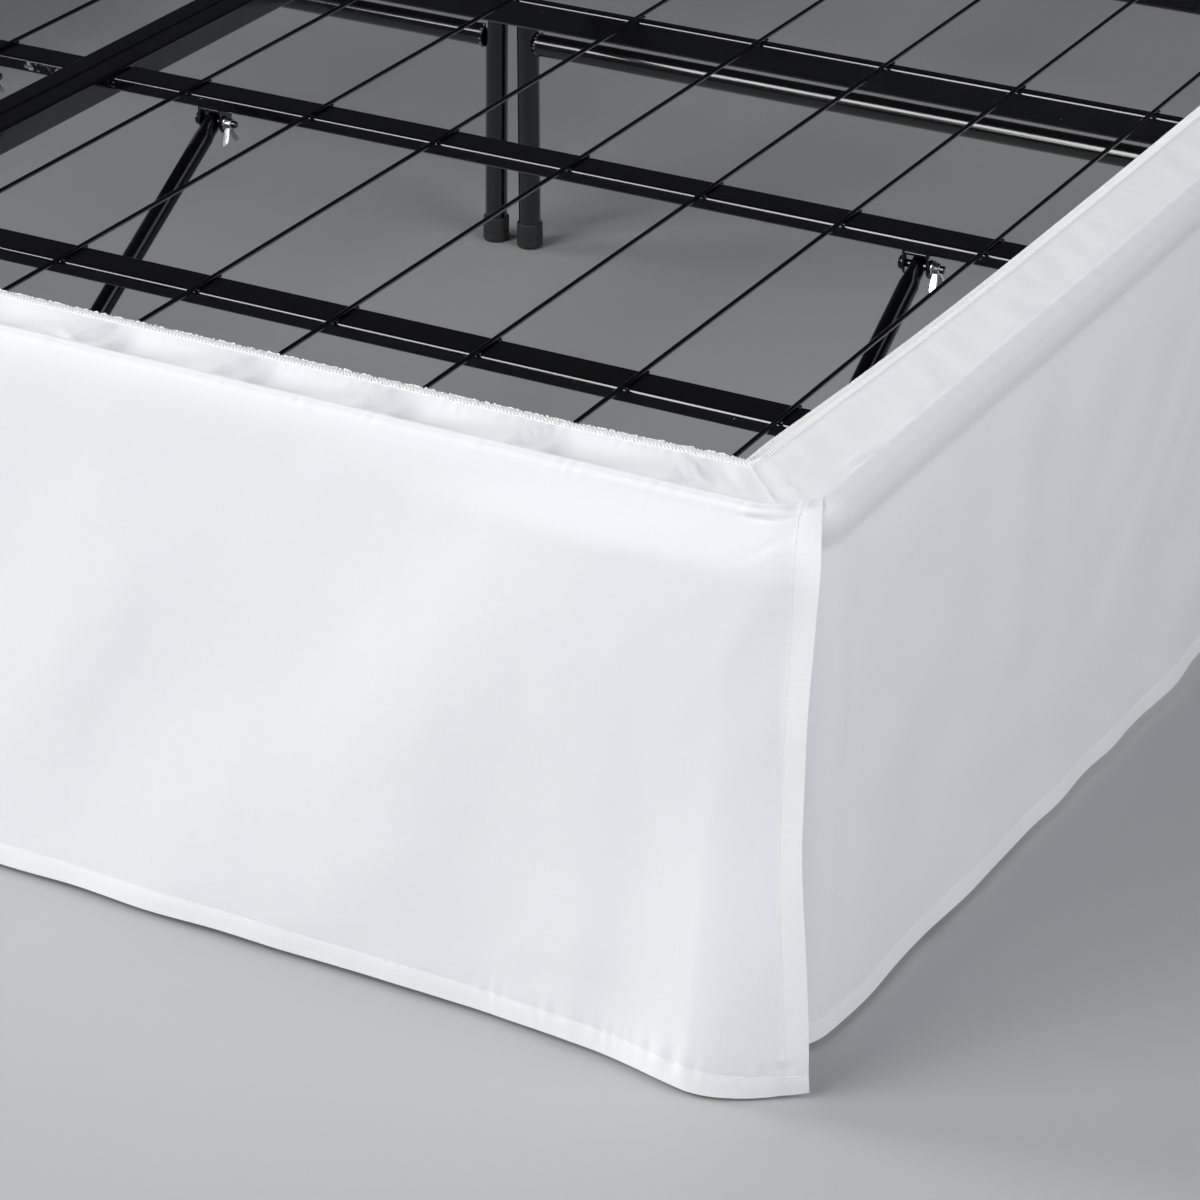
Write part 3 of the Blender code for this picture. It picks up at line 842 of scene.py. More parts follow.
def foot_panel():
    turning = 30
    straight = spaced(
        -0.7225, (-0.64, 0.0042), (0.15, 0.0046), (0.40, 0.0037), (0.7225, 0.0022)
    )
    left = np.linspace(1.0, 0.0, 19)[:-1]
    right = np.linspace(0.0, 1.0, turning)[1:]
    s = spaced(
        -LAP,
        (0.0, 0.0006),
        (0.0180, 0.0010),
        (0.0260, 0.0016),
        (0.0480, 0.0030),
        (0.1000, 0.0087),
        (0.3000, 0.0118),
        (FOOT_KEYS[-1] - HEM - 0.012, 0.0060),
        (FOOT_KEYS[-1] - HEM - 0.003, 0.0024),
        (FOOT_KEYS[-1] - HEM + 0.002, 0.0009),
        (FOOT_KEYS[-1] - 0.0015, 0.0030),
        (FOOT_KEYS[-1], 0.00075),
    )[:, None]
    out = curve(FOOT_KEYS, column(FOOT_ROWS, 1), s)
    drop = curve(FOOT_KEYS, column(FOOT_ROWS, 0), s)
    share = curve(FOOT_KEYS, column(FOOT_ROWS, 2), s)

    def surface(x):
        reach = out + share * (
            curve(column(FOOT_FLARE, 0), column(FOOT_FLARE, 1), x) - FOOT_ROWS[-1][1]
        )
        z = BAND_Z - drop - 0.0003 * dip(x, 0.047) * np.maximum(0.0, 1 - drop / 0.02)
        return np.stack(np.broadcast_arrays(x, -(HALF_L + reach), z), -1)

    def turned(side, t):
        start = surface(np.array([[side * (HALF_W - CORNER[0])]]))
        angle = np.radians(curve(FOOT_KEYS, column(FOOT_EDGE, 3), s))
        end = np.stack(
            [
                side * curve(FOOT_KEYS, column(FOOT_EDGE, 1), s),
                curve(FOOT_KEYS, column(FOOT_EDGE, 2), s),
                start[..., 2],
            ],
            -1,
        )
        reach = 0.37 * np.linalg.norm(end - start, axis=2, keepdims=True)
        flat = np.zeros_like(angle)
        lead = start + reach * np.stack([flat + side, flat, flat], -1)
        trail = end - reach * np.stack([side * np.cos(angle), np.sin(angle), flat], -1)
        t = t[None, :, None]
        p = (1 - t) ** 3 * start + 3 * (1 - t) ** 2 * t * lead
        p = p + 3 * (1 - t) * t * t * trail + t**3 * end
        x, y = corner_point(FOOT_END * t[0, :, 0])
        edge = np.stack([side * x, -y, np.full_like(x, BAND_Z)], -1)[None]
        blend = np.clip(1 - s / 0.006, 0.0, 1.0)[..., None]
        return p + (edge - p[:1]) * blend

    points = np.concatenate(
        [turned(-1, left), surface(straight[None, :]), turned(1, right)], axis=1
    )
    points = lapped(points, s[:, 0], 1.0, seam_floor(points[2, :, 0])[None, :])
    # distance along each row, from the bed's middle
    steps = np.linalg.norm(np.diff(points, axis=1), axis=2)
    run = np.concatenate([np.zeros((len(s), 1)), np.cumsum(steps, axis=1)], axis=1)
    middle = len(left) + int(np.argmin(np.abs(straight)))
    u = run - run[:, middle : middle + 1]
    from_left, from_right = run, run[:, -1:] - run
    up = FOOT_KEYS[-1] - s  # distance above the hem's edge
    edge = np.minimum(from_left, from_right)

    normal = grid_normals(points, -1)
    lift = foot_folds(u, drop + 0 * u)
    # the top roll stands a little above the seam, more so near the corners
    near = smoothstep(0.55, 0.74, np.abs(u))
    lift = lift + (0.0009 + 0.0006 * near) * bell(s - 0.0055, 0.0036)
    # the crease pulled tight under the seam at each corner
    for sign in (-1, 1):
        w = sign * u
        line = 0.0091 - 0.0030 * smoothstep(0.738, 0.775, w)
        hold = within(w, 0.728, 0.760, 0.008)
        lower = np.where(s > line, 0.0017, 0.0007)
        lift = lift - 0.0014 * hold * bell(s - line, lower)
        lift = lift + 0.0010 * hold * bell(s - line + 0.0030, 0.0022)
        for k in range(5):
            a = (0.7740 - 0.0040 * k, 0.0100 + 0.0012 * k)
            b = (0.7600 - 0.0075 * k, 0.0270 + 0.0020 * k)
            lift = lift + ridge(w, s, a, b, 0.0017, 0.00050, 0.4)
            a = (a[0] - 0.0024, a[1])
            b = (b[0] - 0.0036, b[1])
            lift = lift - ridge(w, s, a, b, 0.0017, 0.00040, 0.4)
        # a soft groove beside the free hem's stitching
        free = (from_right if sign > 0 else from_left) + 0 * u
        patch = 0.5 + 0.5 * wander(s + 0 * u, 57, 0.11)
        lift = lift - 0.0008 * np.clip(patch, 0.2, 1.2) * bell(free - 0.0180, 0.0042)
        spring = smoothstep(0.02, 0.05, s) * (1 - smoothstep(0.25, 0.34, s) * 0.4)
        lift = lift + 0.0014 * spring * (1 - smoothstep(0.0, 0.0165, free))
    # gathers at the seam
    lift = lift + 0.00028 * puckers(u, 31, 0.013) * bell(s - 0.004, 0.006)
    # hems: the stitch line is drawn in and the cloth ripples round it
    drawn = bell(up - HEM + 0.0012, 0.0012)
    ripple = 0.35 + 0.65 * smoothstep(0.52, 0.62, u) + 0.25 * smoothstep(0.3, 0.7, -u)
    ripple = ripple + 1.1 * within(u, 0.690, 0.770, 0.02)
    lift = lift - 0.00042 * drawn
    lift = lift + 0.00034 * ripple * puckers(u, 41) * bell(up - HEM, 0.0085)
    lift = lift + 0.00035 * wander(u, 45, 0.09) * (1 - smoothstep(0.0, 0.028, up))
    drawn_side = bell(edge - HEM + 0.0012, 0.0011) * smoothstep(0.004, 0.012, s)
    lift = lift - 0.00022 * drawn_side
    lift = lift + 0.00034 * puckers(s + 0 * u, 51, 0.012) * bell(edge - HEM, 0.006)
    lift = lift + 0.0004 * wander(s + 0 * u, 55, 0.075) * (
        1 - smoothstep(0.0, 0.02, edge)
    ) * smoothstep(0.02, 0.06, s)
    points = points + normal * lift[..., None]
    # the hem's lower edge isn't quite straight
    turned_up = 0.0010 * smoothstep(0.780, 0.803, u)
    turned_up = turned_up - 0.0021 * within(u, 0.715, 0.780, 0.025)
    hem_line = 0.0003 * wander(u, 61, 0.09) + turned_up
    points[..., 2] += hem_line * (1 - smoothstep(0, 0.03, up))

    in_hem = 1 - smoothstep(HEM - 0.0006, HEM + 0.0006, up + 0 * u)
    in_side = (1 - smoothstep(HEM - 0.0006, HEM + 0.0006, edge)) * smoothstep(
        0.003, 0.006, s
    )
    doubled = np.maximum(in_hem, in_side)
    both = in_hem * in_side
    front = FABRIC / 2 + 0.00022 * doubled + 0.00018 * both
    back = FABRIC / 2 + 0.00042 * doubled
    uv = np.stack(np.broadcast_arrays(u, -s), -1)
    obj, outer, n = sheet_mesh(
        "panel_foot_cloth", points, uv, front, back, doubled, -1
    )
    lines = [
        (outer, n, row_at(s[:, 0], FOOT_KEYS[-1] - HEM + 0.0012)),
        (outer, n, ("edge", edge, from_left, HEM - 0.0012)),
        (outer, n, ("edge", edge, from_right, HEM - 0.0012)),
    ]
    return obj, lines


def row_at(s, want):
    return ("row", s, want)


def line_points(points, normals, rule):
    """Points on a grid along a row, or at a given distance from an end."""
    if rule[0] == "row":
        s, want = rule[1], rule[2]
        k = int(np.clip(np.searchsorted(s, want) - 1, 0, len(s) - 2))
        t = (want - s[k]) / (s[k + 1] - s[k])
        return (
            points[k] * (1 - t) + points[k + 1] * t,
            normals[k] * (1 - t) + normals[k + 1] * t,
        )
    distance, want = rule[2], rule[3]
    rows = []
    ups = []
    for r in range(points.shape[0]):
        d = distance[r]
        order = np.argsort(d)
        rows.append([np.interp(want, d[order], points[r, order, i]) for i in range(3)])
        ups.append([np.interp(want, d[order], normals[r, order, i]) for i in range(3)])
    return np.array(rows), np.array(ups)


def stitches(name, lines, on, pitch=0.0028, seed=5, skip=0.0):
    """Lockstitch: a short stitch of thread every pitch along each line."""
    rng = np.random.default_rng(seed)
    paths = []
    for points, normals in lines:
        steps = np.linalg.norm(np.diff(points, axis=0), axis=1)
        run = np.concatenate([[0], np.cumsum(steps)])
        at = np.arange(skip + pitch / 2, run[-1] - pitch / 2, pitch)
        at = at + rng.normal(0, 0.00010, len(at))
        for offset, sink in (
            (-0.42, -0.00022),
            (-0.25, 0.00016),
            (0.25, 0.00016),
            (0.42, -0.00022),
        ):
            where = at + offset * pitch
            p = np.stack([np.interp(where, run, points[:, i]) for i in range(3)], -1)
            q = np.stack([np.interp(where, run, normals[:, i]) for i in range(3)], -1)
            paths.append(p + q * sink)
    grouped = []
    for k in range(0, len(paths), 4):
        grouped.append(np.stack(paths[k : k + 4], axis=1))
    verts, faces = swept(np.concatenate(grouped), 0.00022, 4, math.pi / 4)
    obj = made(name, verts, faces, [THREAD])
    return obj


def side_folds(y, drop, seed, front):
    """The same for a side panel. front says that it is the one whose folds
    are known; the other's differ."""
    out = 0.0
    known = (
        # from, to, width, other width, height
        ((-0.745, 0.230), (-0.738, 0.110), 0.020, 0.026, 0.0014),
        ((-0.605, 0.245), (-0.440, 0.095), 0.012, 0.030, 0.0022),
        ((-0.560, 0.255), (-0.405, 0.120), 0.010, 0.016, 0.0011),
        ((-0.640, 0.200), (-0.520, 0.080), 0.020, 0.030, 0.0012),
        ((-0.900, 0.300), (-0.800, 0.230), 0.028, 0.034, -0.0017),
        ((-0.850, 0.330), (-0.690, 0.290), 0.020, 0.026, -0.0013),
        ((-0.965, 0.220), (-0.950, 0.090), 0.026, 0.030, 0.0014),
        ((-0.845, 0.180), (-0.815, 0.070), 0.030, 0.034, 0.0010),
    )
    if front:
        for a, b, width, other, height in known:
            out = out + ridge(y, drop, a, b, width, 1.15 * height, 0.35, other)
    rng = np.random.default_rng(seed)
    begin = -0.36 if front else -0.95
    for at in np.arange(begin, 0.95, 0.165):
        lean = 0.10 + 0.16 * rng.random()
        low = 0.20 + 0.12 * rng.random()
        height = 0.0016 + 0.0028 * rng.random()
        width = 0.024 + 0.034 * rng.random()
        a = (at - lean / 2, low)
        b = (at + lean / 2, low - 0.15)
        out = out + ridge(y, drop, a, b, width, height, 0.35, width * 1.4)
    fade = smoothstep(0.01, 0.06, drop)
    out = out + 0.0005 * fade * rolling(y, drop, seed + 1, 0.14, 0.9, 2.6)
    out = out + 0.0007 * fade * rolling(y, drop, seed + 4, 0.085)
    out = out + 0.00012 * fade * rolling(y, drop, seed + 2, 0.04, 0.9, 2.8)
    return out


def side_panel(hand, side):
    front = side > 0
    s = spaced(
        -LAP,
        (0.0, 0.0006),
        (0.0120, 0.0012),
        (0.0400, 0.0026),
        (0.1000, 0.0080 if front else 0.0100),
        (0.3000, 0.0134 if front else 0.0170),
        (SIDE_KEYS[-1] - HEM - 0.012, 0.0068),
        (SIDE_KEYS[-1] - HEM - 0.003, 0.0028),
        (SIDE_KEYS[-1] - HEM + 0.002, 0.0010),
        (SIDE_KEYS[-1] - 0.0015, 0.0034),
        (SIDE_KEYS[-1], 0.00075),
    )[:, None]
    turn = spaced(30.0, (56.0, 2.2), (76.0, 0.8), (90.0, 1.6))[:-1]
    y = spaced(-0.978, (-0.30, 0.0034 if front else 0.0042), (0.976, 0.0046))

    def section(along):
        """Out, drop and share at each row."""
        at = s + 0 * along
        return [curve(SIDE_KEYS, column(SIDE_ROWS, k), at) for k in (1, 0, 2)]

    out, drop, share = section(y[None, :])
    x = (1 - share) * (side_seam(y[None, :]) + out)
    x = x + share * curve(column(SIDE_HEM, 0), column(SIDE_HEM, 1), y[None, :])
    flat = np.stack(
        np.broadcast_arrays(side * x, y[None, :] + 0 * s, BAND_Z - drop), -1
    )
    out, drop, _ = section(np.full((1, len(turn)), -0.978))
    tucked = list(TUCKED) + [(row[0], row[1]) for row in SIDE_ROWS[6:]]
    under_drop = curve(SIDE_KEYS, column(tucked, 0), s)
    under_out = curve(SIDE_KEYS, column(tucked, 1), s)
    held = curve(TUCK_KEYS, TUCK_ANGLES, s)
    tuck = 1 - smoothstep(-1.7, 0.6, turn[None, :] - held)
    drop = drop + tuck * (under_drop - drop)
    out = out + tuck * (under_out - out)
    cx, cy = corner_point(turn[None, :] + 0 * s, out)
    bent = np.stack([side * cx, -cy, BAND_Z - drop], -1)
    points = np.concatenate([bent, flat], axis=1)
    first = int(np.argmin(np.abs(s[:, 0])))
    sewn = np.concatenate([1 - tuck[first], np.ones(len(y))])
    points = lapped(points, s[:, 0], sewn)

    steps = np.linalg.norm(np.diff(points, axis=1), axis=2)
    run = np.concatenate([np.zeros((len(s), 1)), np.cumsum(steps, axis=1)], axis=1)
    from_foot, from_head = run, run[:, -1:] - run
    along = np.concatenate([-0.978 - 0.045 * (90 - turn) / 40, y])[None, :] + 0 * s
    up = SIDE_KEYS[-1] - s
    fall = curve(SIDE_KEYS, column(SIDE_ROWS, 0), s) + 0 * along
    outward = -side
    normal = grid_normals(points, outward)
    seed = 70 if front else 90
    lift = side_folds(along, fall, seed, front) * smoothstep(-0.985, -0.955, along)
    sewing = bell(s - 0.004, 0.006) * smoothstep(-0.978, -0.950, along)
    lift = lift + 0.00022 * puckers(along, seed + 3, 0.015) * sewing
    drawn = bell(up - HEM + 0.0012, 0.0012)
    lift = lift - 0.00040 * drawn
    ripple = 0.45 + 0.75 * within(along, -0.80, -0.64, 0.04)
    ripple = ripple + 0.3 * within(along, -0.2, 0.4, 0.2)
    lift = lift + 0.00036 * ripple * puckers(along, seed + 5) * bell(up - HEM, 0.0085)
    lift = lift + 0.00045 * wander(along, seed + 7, 0.09) * (
        1 - smoothstep(0.0, 0.03, up)
    ) * smoothstep(-0.99, -0.96, along)
    lift = lift - 0.00038 * bell(from_head - HEM + 0.0012, 0.0011)
    points = points + normal * lift[..., None]
    points[..., 2] += (0.0005 * wander(along, seed + 9, 0.09)) * (
        1 - smoothstep(0, 0.03, up)
    )
    in_hem = 1 - smoothstep(HEM - 0.0006, HEM + 0.0006, up + 0 * along)
    edge = np.minimum(from_foot, from_head)
    in_side = (1 - smoothstep(HEM - 0.0006, HEM + 0.0006, edge)) * smoothstep(
        0.003, 0.006, s
    )
    doubled = np.maximum(in_hem, in_side)
    front_t = FABRIC / 2 + 0.00022 * doubled + 0.00018 * in_hem * in_side
    back_t = FABRIC / 2 + 0.00042 * doubled
    uv = np.stack(np.broadcast_arrays(along, -s), -1)
    obj, outer, n = sheet_mesh(
        f"panel_{hand}_cloth", points, uv, front_t, back_t, doubled, outward
    )
    lines = [
        (outer, n, row_at(s[:, 0], SIDE_KEYS[-1] - HEM + 0.0012)),
        (outer, n, ("edge", edge, from_foot, HEM - 0.0012)),
        (outer, n, ("edge", edge, from_head, HEM - 0.0012)),
    ]
    return obj, lines


BAND_D = (0.0, 0.0006, 0.0014, 0.0026, 0.0040, 0.0054, 0.0064, 0.0071, 0.0079)
BAND_D = BAND_D + (0.0090, 0.0112, 0.0150, 0.0210, 0.0270, 0.0330)
BAND_E = (0.0110, 0.0080, 0.0055, 0.0036, 0.0022, 0.0012, 0.0005, 0.0)


def band_rows(width):
    """Shares across a band, finest at the overlocked edge and the seam."""
    d = [x for x in BAND_D] + [width - x for x in BAND_E]
    return np.clip(np.array(d) / width, 0, 1)


def band_section(d, along, seed, wires, firm):
    """What a band has across its width: the overlocked strip with its bead
    and needle line, the gathers beside it, and a little unevenness. firm is
    0 at the mitres, where two bands meet."""
    strip = 0.00030 * bell(d - 0.0007, 0.0012)
    strip = strip + 0.00022 * (1 - smoothstep(0.0052, 0.0086, d))
    strip = strip - 0.00010 * bell(d - 0.0098, 0.0018)
    gather = puckers(along, seed, 0.0092) * bell(d - 0.009, 0.012)
    gather = gather * (0.00008 + 0.00030 * wires)
    uneven = 0.00020 * rolling(along, d, seed + 2, 0.035, 0.9, 1.4)
    return strip + (gather + uneven * smoothstep(0.006, 0.02, d)) * firm


def turned_down(points, d, width):
    """Adds a band's seam allowance, turned down behind the panel."""
    inward = points[-4] - points[-1]
    inward[:, 2] = 0.0
    inward /= np.linalg.norm(inward, axis=1, keepdims=True)
    rows, more = [points], [d]
    for back, down in ((0.0005, 0.0012), (0.0009, 0.0036), (0.0010, 0.0080)):
        row = points[-1] + inward * back
        row[:, 2] -= down
        rows.append(row[None])
        more.append(np.full_like(d[:1], down) + d[-1:])
    return np.concatenate(rows), np.concatenate(more)


def band_cloth(name, points, d, along):
    strip = 1 - smoothstep(0.0066, 0.0080, d)
    uv = np.stack(np.broadcast_arrays(along + 0 * d, -d), -1)
    return sheet_mesh(
        f"{name}_cloth",
        points,
        uv,
        FABRIC / 2,
        FABRIC / 2 + 0.00018 * strip,
        0.9 * strip,
        outward_of(points),
    )


def end_band(name, end):
    bend = np.linspace(0.0, MITRE, 9)
    bx, by = corner_point(bend)
    step = 0.0027 if end < 0 else 0.0048
    x = spaced(-(HALF_W - CORNER[0]), (0.15, 0.0046), (HALF_W - CORNER[0], step))
    ox = np.concatenate([-bx[::-1][:-1], x, bx[1:]])
    oy = np.concatenate([by[::-1][:-1], np.full_like(x, HALF_L), by[1:]])
    width = HALF_L - BAND_INNER_Y
    w = band_rows(width)[:, None]
    inner_reach = BAND_INNER[-1][1]
    ix = ox * inner_reach / ox[-1]
    iy = BAND_INNER_Y + 0.0042 * (1 - smoothstep(0.560, 0.703, np.abs(ix)))
    fx = ix + (ox - ix) * w
    fy = iy + (oy - iy) * w
    d = w * width + 0 * fx
    off = mitre_distance(fx, fy)
    firm = smoothstep(0.002, 0.010, np.abs(off))
    # the cloth sinks between the wires and rises to the seam again
    low = seam_floor(fx)
    sag = 0.0050 * smoothstep(0.005, 0.023, d) * dip(fx, d)
    back = smoothstep(0.0315, width + 0.0006, d)
    z = BAND_Z - sag * (1 - back) - low * back
    wires = within(fx, 0.40, 0.69, 0.03) + 0.5 * within(fx, -0.69, 0.2, 0.05)
    z = z + band_section(d, fx, 101 if end < 0 else 121, wires, firm)
    # the crease above each wire stands up a little, and folds run from it
    for k in range(WIRES):
        for sign in (-1, 1):
            at = sign * (WIRE_FIRST + WIRE_PITCH * k)
            a, b = (at - 0.0065, 0.014), (at - 0.0190, 0.046)
            z = z + ridge(fx, d, a, b, 0.0050, 0.00065, 0.3, 0.0026)
            a, b = (at + 0.0120, 0.022), (at + 0.0020, 0.044)
            z = z + ridge(fx, d, a, b, 0.0034, 0.00050, 0.3)
            a, b = (at + 0.0240, 0.026), (at + 0.0120, 0.045)
            z = z - ridge(fx, d, a, b, 0.0034, 0.00035, 0.3)
    if end < 0:
        for a, b, wide, height in (
            ((0.300, 0.030), (0.274, 0.044), 0.0016, 0.0006),
            ((0.322, 0.034), (0.276, 0.045), 0.0016, -0.0005),
            ((0.246, 0.026), (0.270, 0.043), 0.0018, 0.0006),
            ((0.232, 0.034), (0.268, 0.045), 0.0016, -0.0005),
            ((0.430, 0.034), (0.412, 0.046), 0.0020, 0.0007),
            ((0.520, 0.036), (0.498, 0.046), 0.0020, 0.0006),
            ((0.6640, 0.012), (0.6920, 0.034), 0.0040, 0.0007),
            ((0.6720, 0.014), (0.6880, 0.026), 0.0020, -0.0005),
            ((0.6900, 0.012), (0.7120, 0.036), 0.0024, -0.0004),
        ):
            z = z + ridge(fx, d, a, b, wide, height, 0.35)
    z = z + 0.00030 * bell(off, 0.0012)
    # the cloth lies on the centre rails' tops
    rest = RAIL_Z + 0.0008 - 0.020 * smoothstep(0.021, 0.042, np.abs(fx))
    z = (z + rest + np.sqrt((z - rest) ** 2 + 0.0004**2)) / 2
    points = np.stack([fx, end * fy, z + 0 * fx], -1)
    points, deep = turned_down(points, d, width)
    obj, outer, n = band_cloth(name, points, deep, fx[-1][None, :])
    return obj, (outer, n, deep)


def outward_of(points):
    """1 or -1, so that a nearly level grid's front faces up."""
    n = grid_normals(points, 1)
    return 1 if n[..., 2].mean() > 0 else -1


def mitre_distance(fx, fy):
    """How far a point is from the mitre's line at its corner."""
    mx, my = corner_point(np.array(MITRE))
    a = np.array([BAND_INNER[-1][1], BAND_INNER_Y])
    b = np.array([float(mx), float(my)])
    run = (b - a) / np.linalg.norm(b - a)
    return (np.abs(fx) - a[0]) * -run[1] + (np.abs(fy) - a[1]) * run[0]


def side_band(hand, side):
    bend = np.linspace(MITRE, 90.0, 16)
    bx, by = corner_point(bend)
    step = 0.0034 if side > 0 else 0.0046
    y = spaced(-(HALF_L - CORNER[1]), (HALF_L - CORNER[1], step))
    ox = np.concatenate([bx[:-1], side_seam(y), bx[::-1][1:]])
    oy = np.concatenate([-by[:-1], y, by[::-1][1:]])
    iy = oy * BAND_INNER_Y / oy[-1]
    ix = curve(column(BAND_INNER, 0), column(BAND_INNER, 1), np.abs(iy))
    width = ox - ix
    w = band_rows(0.0490)[:, None]
    fx, fy = ix + (ox - ix) * w, iy + (oy - iy) * w
    d = w * width[None, :]
    z = np.full_like(fx, BAND_Z)
    seed = 141 if side > 0 else 161
    off = mitre_distance(fx, fy)
    firm = smoothstep(0.002, 0.010, np.abs(off))
    z = z + band_section(d, fy, seed, 0.12, firm)
    # the seam stands up as a thin ridge
    back = (1 - w) * width[None, :]
    flat = 1 - smoothstep(0.955, 0.985, np.abs(fy))
    z = z - 0.00030 * bell(back - 0.0036, 0.0020) * flat
    # long shallow wrinkles, and short ones across the band by the overlocking
    long = rolling(fy, fx, seed + 4, 0.11, 0.5, 1.0)
    z = z + 0.00035 * long * smoothstep(0.010, 0.03, d) * smoothstep(0, 0.012, back)
    short = rolling(fy, fx, seed + 6, 0.0105, 0.45, 0.5)
    z = z + 0.00009 * short * within(d, 0.008, 0.022, 0.006)
    for a, b, wide, height in (
        # at the corner: folds from the inner corner, and leaves by the mitre
        ((-0.968, 0.7005), (-0.938, 0.7160), 0.0026, -0.0008),
        ((-0.970, 0.7040), (-0.944, 0.7250), 0.0036, 0.0008),
        ((-0.962, 0.7020), (-0.910, 0.7130), 0.0030, -0.0004),
        ((-0.9985, 0.7270), (-0.9900, 0.7420), 0.0019, 0.0011),
        ((-1.0010, 0.7310), (-0.9960, 0.7440), 0.0015, -0.0011),
        ((-0.9930, 0.7230), (-0.9800, 0.7390), 0.0020, -0.0009),
        ((-0.9990, 0.7360), (-0.9980, 0.7480), 0.0016, 0.0008),
        ((-0.9440, 0.7540), (-0.9120, 0.7565), 0.0014, -0.0008),
        ((-0.9520, 0.7510), (-0.9160, 0.7545), 0.0018, 0.0006),
    ):
        z = z + ridge(fy, fx, a, b, wide, height, 0.35)
    z = z + 0.00030 * bell(off, 0.0012)
    points = np.stack([side * fx, fy, z], -1)
    points, deep = turned_down(points, d, width)
    obj, outer, n = band_cloth(f"band_{hand}", points, deep, fy[-1][None, :])
    return obj, (outer, n, deep)


def overlock(name, band, pitch, fuzz, seed):
    """The overlocked edge's thread: it crosses the strip, dips at the needle
    line, comes back and goes round the raw edge."""
    outer, normal, d = band
    rng = np.random.default_rng(seed)
    edge = outer[0]
    steps = np.linalg.norm(np.diff(edge, axis=0), axis=1)
    run = np.concatenate([[0], np.cumsum(steps)])
    # stitched finely at the foot end's right corner, and coarsely elsewhere
    fine = (edge[:, 1] < -0.10) & (edge[:, 0] > 0.15)
    finest, at, gaps = pitch, [0.0012], []
    while True:
        k = min(int(np.searchsorted(run, at[-1])), len(fine) - 1)
        gaps.append(finest if fine[k] else 2.4 * finest)
        if at[-1] + gaps[-1] > run[-1] - 0.0030:
            break
        at.append(at[-1] + gaps[-1])
    n, pitch = len(at), np.array(gaps)
    at = np.array(at) + rng.normal(0, 0.00012, n)

    def place(where, inward, lift):
        """A point a distance inward of the edge and lift above the cloth."""
        inward = np.broadcast_to(inward, n)
        depth = d[:, len(run) // 2]
        k = np.clip(np.searchsorted(depth, inward, side="right") - 1, 0, len(depth) - 2)
        t = (inward - depth[k]) / (depth[k + 1] - depth[k])
        c = np.interp(where, run, np.arange(len(run)))
        c0 = np.clip(np.floor(c).astype(int), 0, len(run) - 2)
        f = (c - c0)[:, None]

        def read(grid):
            low = grid[k, c0] * (1 - f) + grid[k, c0 + 1] * f
            high = grid[k + 1, c0] * (1 - f) + grid[k + 1, c0 + 1] * f
            return low + (high - low) * t[:, None]

        return read(outer) + read(normal) * np.broadcast_to(lift, n)[:, None]

    reach = 0.0062 + rng.normal(0, 0.00018, n)
    bead = 0.00022 + 0.00014 * rng.random(n)
    loop = [
        place(at, 0.0, -0.0007) + (place(at, 0, 0) - place(at, 0.001, 0)) * 0.35,
        place(at, 0.0, 0.0000) + (place(at, 0, 0) - place(at, 0.001, 0)) * 0.55,
        place(at + 0.10 * pitch, 0.0005, bead),
        place(at + 0.30 * pitch, 0.0030, 0.00004),
        place(at + 0.46 * pitch, reach, 0.00002),
        place(at + 0.54 * pitch, reach, 0.00002),
        place(at + 0.70 * pitch, 0.0030, 0.00010),
        place(at + 0.90 * pitch, 0.0005, bead),
        place(at + pitch, 0.0, 0.0000) + (place(at, 0, 0) - place(at, 0.001, 0)) * 0.55,
        place(at + pitch, 0.0, -0.0007) + (place(at, 0, 0) - place(at, 0.001, 0)) * 0.35,
    ]
    verts, faces = swept(np.stack(loop, axis=1), 0.00036, 4, math.pi / 4)
    faces = [list(f) for f in faces]
    total = verts
    # the needle thread runs along the inner line of the strip
    needle = [
        place(at + 0.02 * pitch, 0.0063, -0.00015),
        place(at + 0.20 * pitch, 0.0064, 0.00010),
        place(at + 0.75 * pitch, 0.0064, 0.00010),
        place(at + 0.95 * pitch, 0.0063, -0.00015),
    ]
    more, rest = swept(np.stack(needle, axis=1), 0.00026, 4, math.pi / 4)
    faces += [[i + len(total) for i in f] for f in rest]
    total = np.concatenate([total, more])
    if fuzz > 0:
        # loose loops that stand up from the edge
        count = int(1.6 * run[-1] / finest)
        where = np.sort(rng.random(count) * (run[-1] - 0.01) + 0.004)
        keep = np.interp(where, run, fine.astype(float)) > 0.5
        where = where[keep | (rng.random(count) < 0.42)]
        count = len(where)
        tall = 0.62 * fuzz * (0.25 + 0.75 * rng.random(count) ** 2.2)
        wide = 0.0009 + 0.0011 * rng.random(count)
        lean = rng.normal(0, 0.0006, count)

        def rim(w):
            return np.stack(
                [np.interp(w, run, outer[0, :, i]) for i in range(3)], -1
            )

        inward = np.stack(
            [
                np.interp(where, run, (outer[4] - outer[0])[:, i] / 0.004)
                for i in range(3)
            ],
            -1,
        )
        upward = np.array([0.0, 0.0, 1.0])
        arcs = []
        for along_share, high, out in (
            (-0.5, 0.0, -0.2),
            (-0.45, 0.62, 0.30),
            (0.0, 1.0, 0.55),
            (0.45, 0.62, 0.30),
            (0.5, 0.0, -0.2),
        ):
            p = rim(where + along_share * wide + lean * high)
            p = p + upward * (tall * high)[:, None]
            p = p - inward * (tall * out * 0.55)[:, None]
            arcs.append(p)
        more, rest = swept(np.stack(arcs, axis=1), 0.00034, 4)
        faces += [[i + len(total) for i in f] for f in rest]
        total = np.concatenate([total, more])
    obj = made(name, total, faces, [THREAD])
    return obj


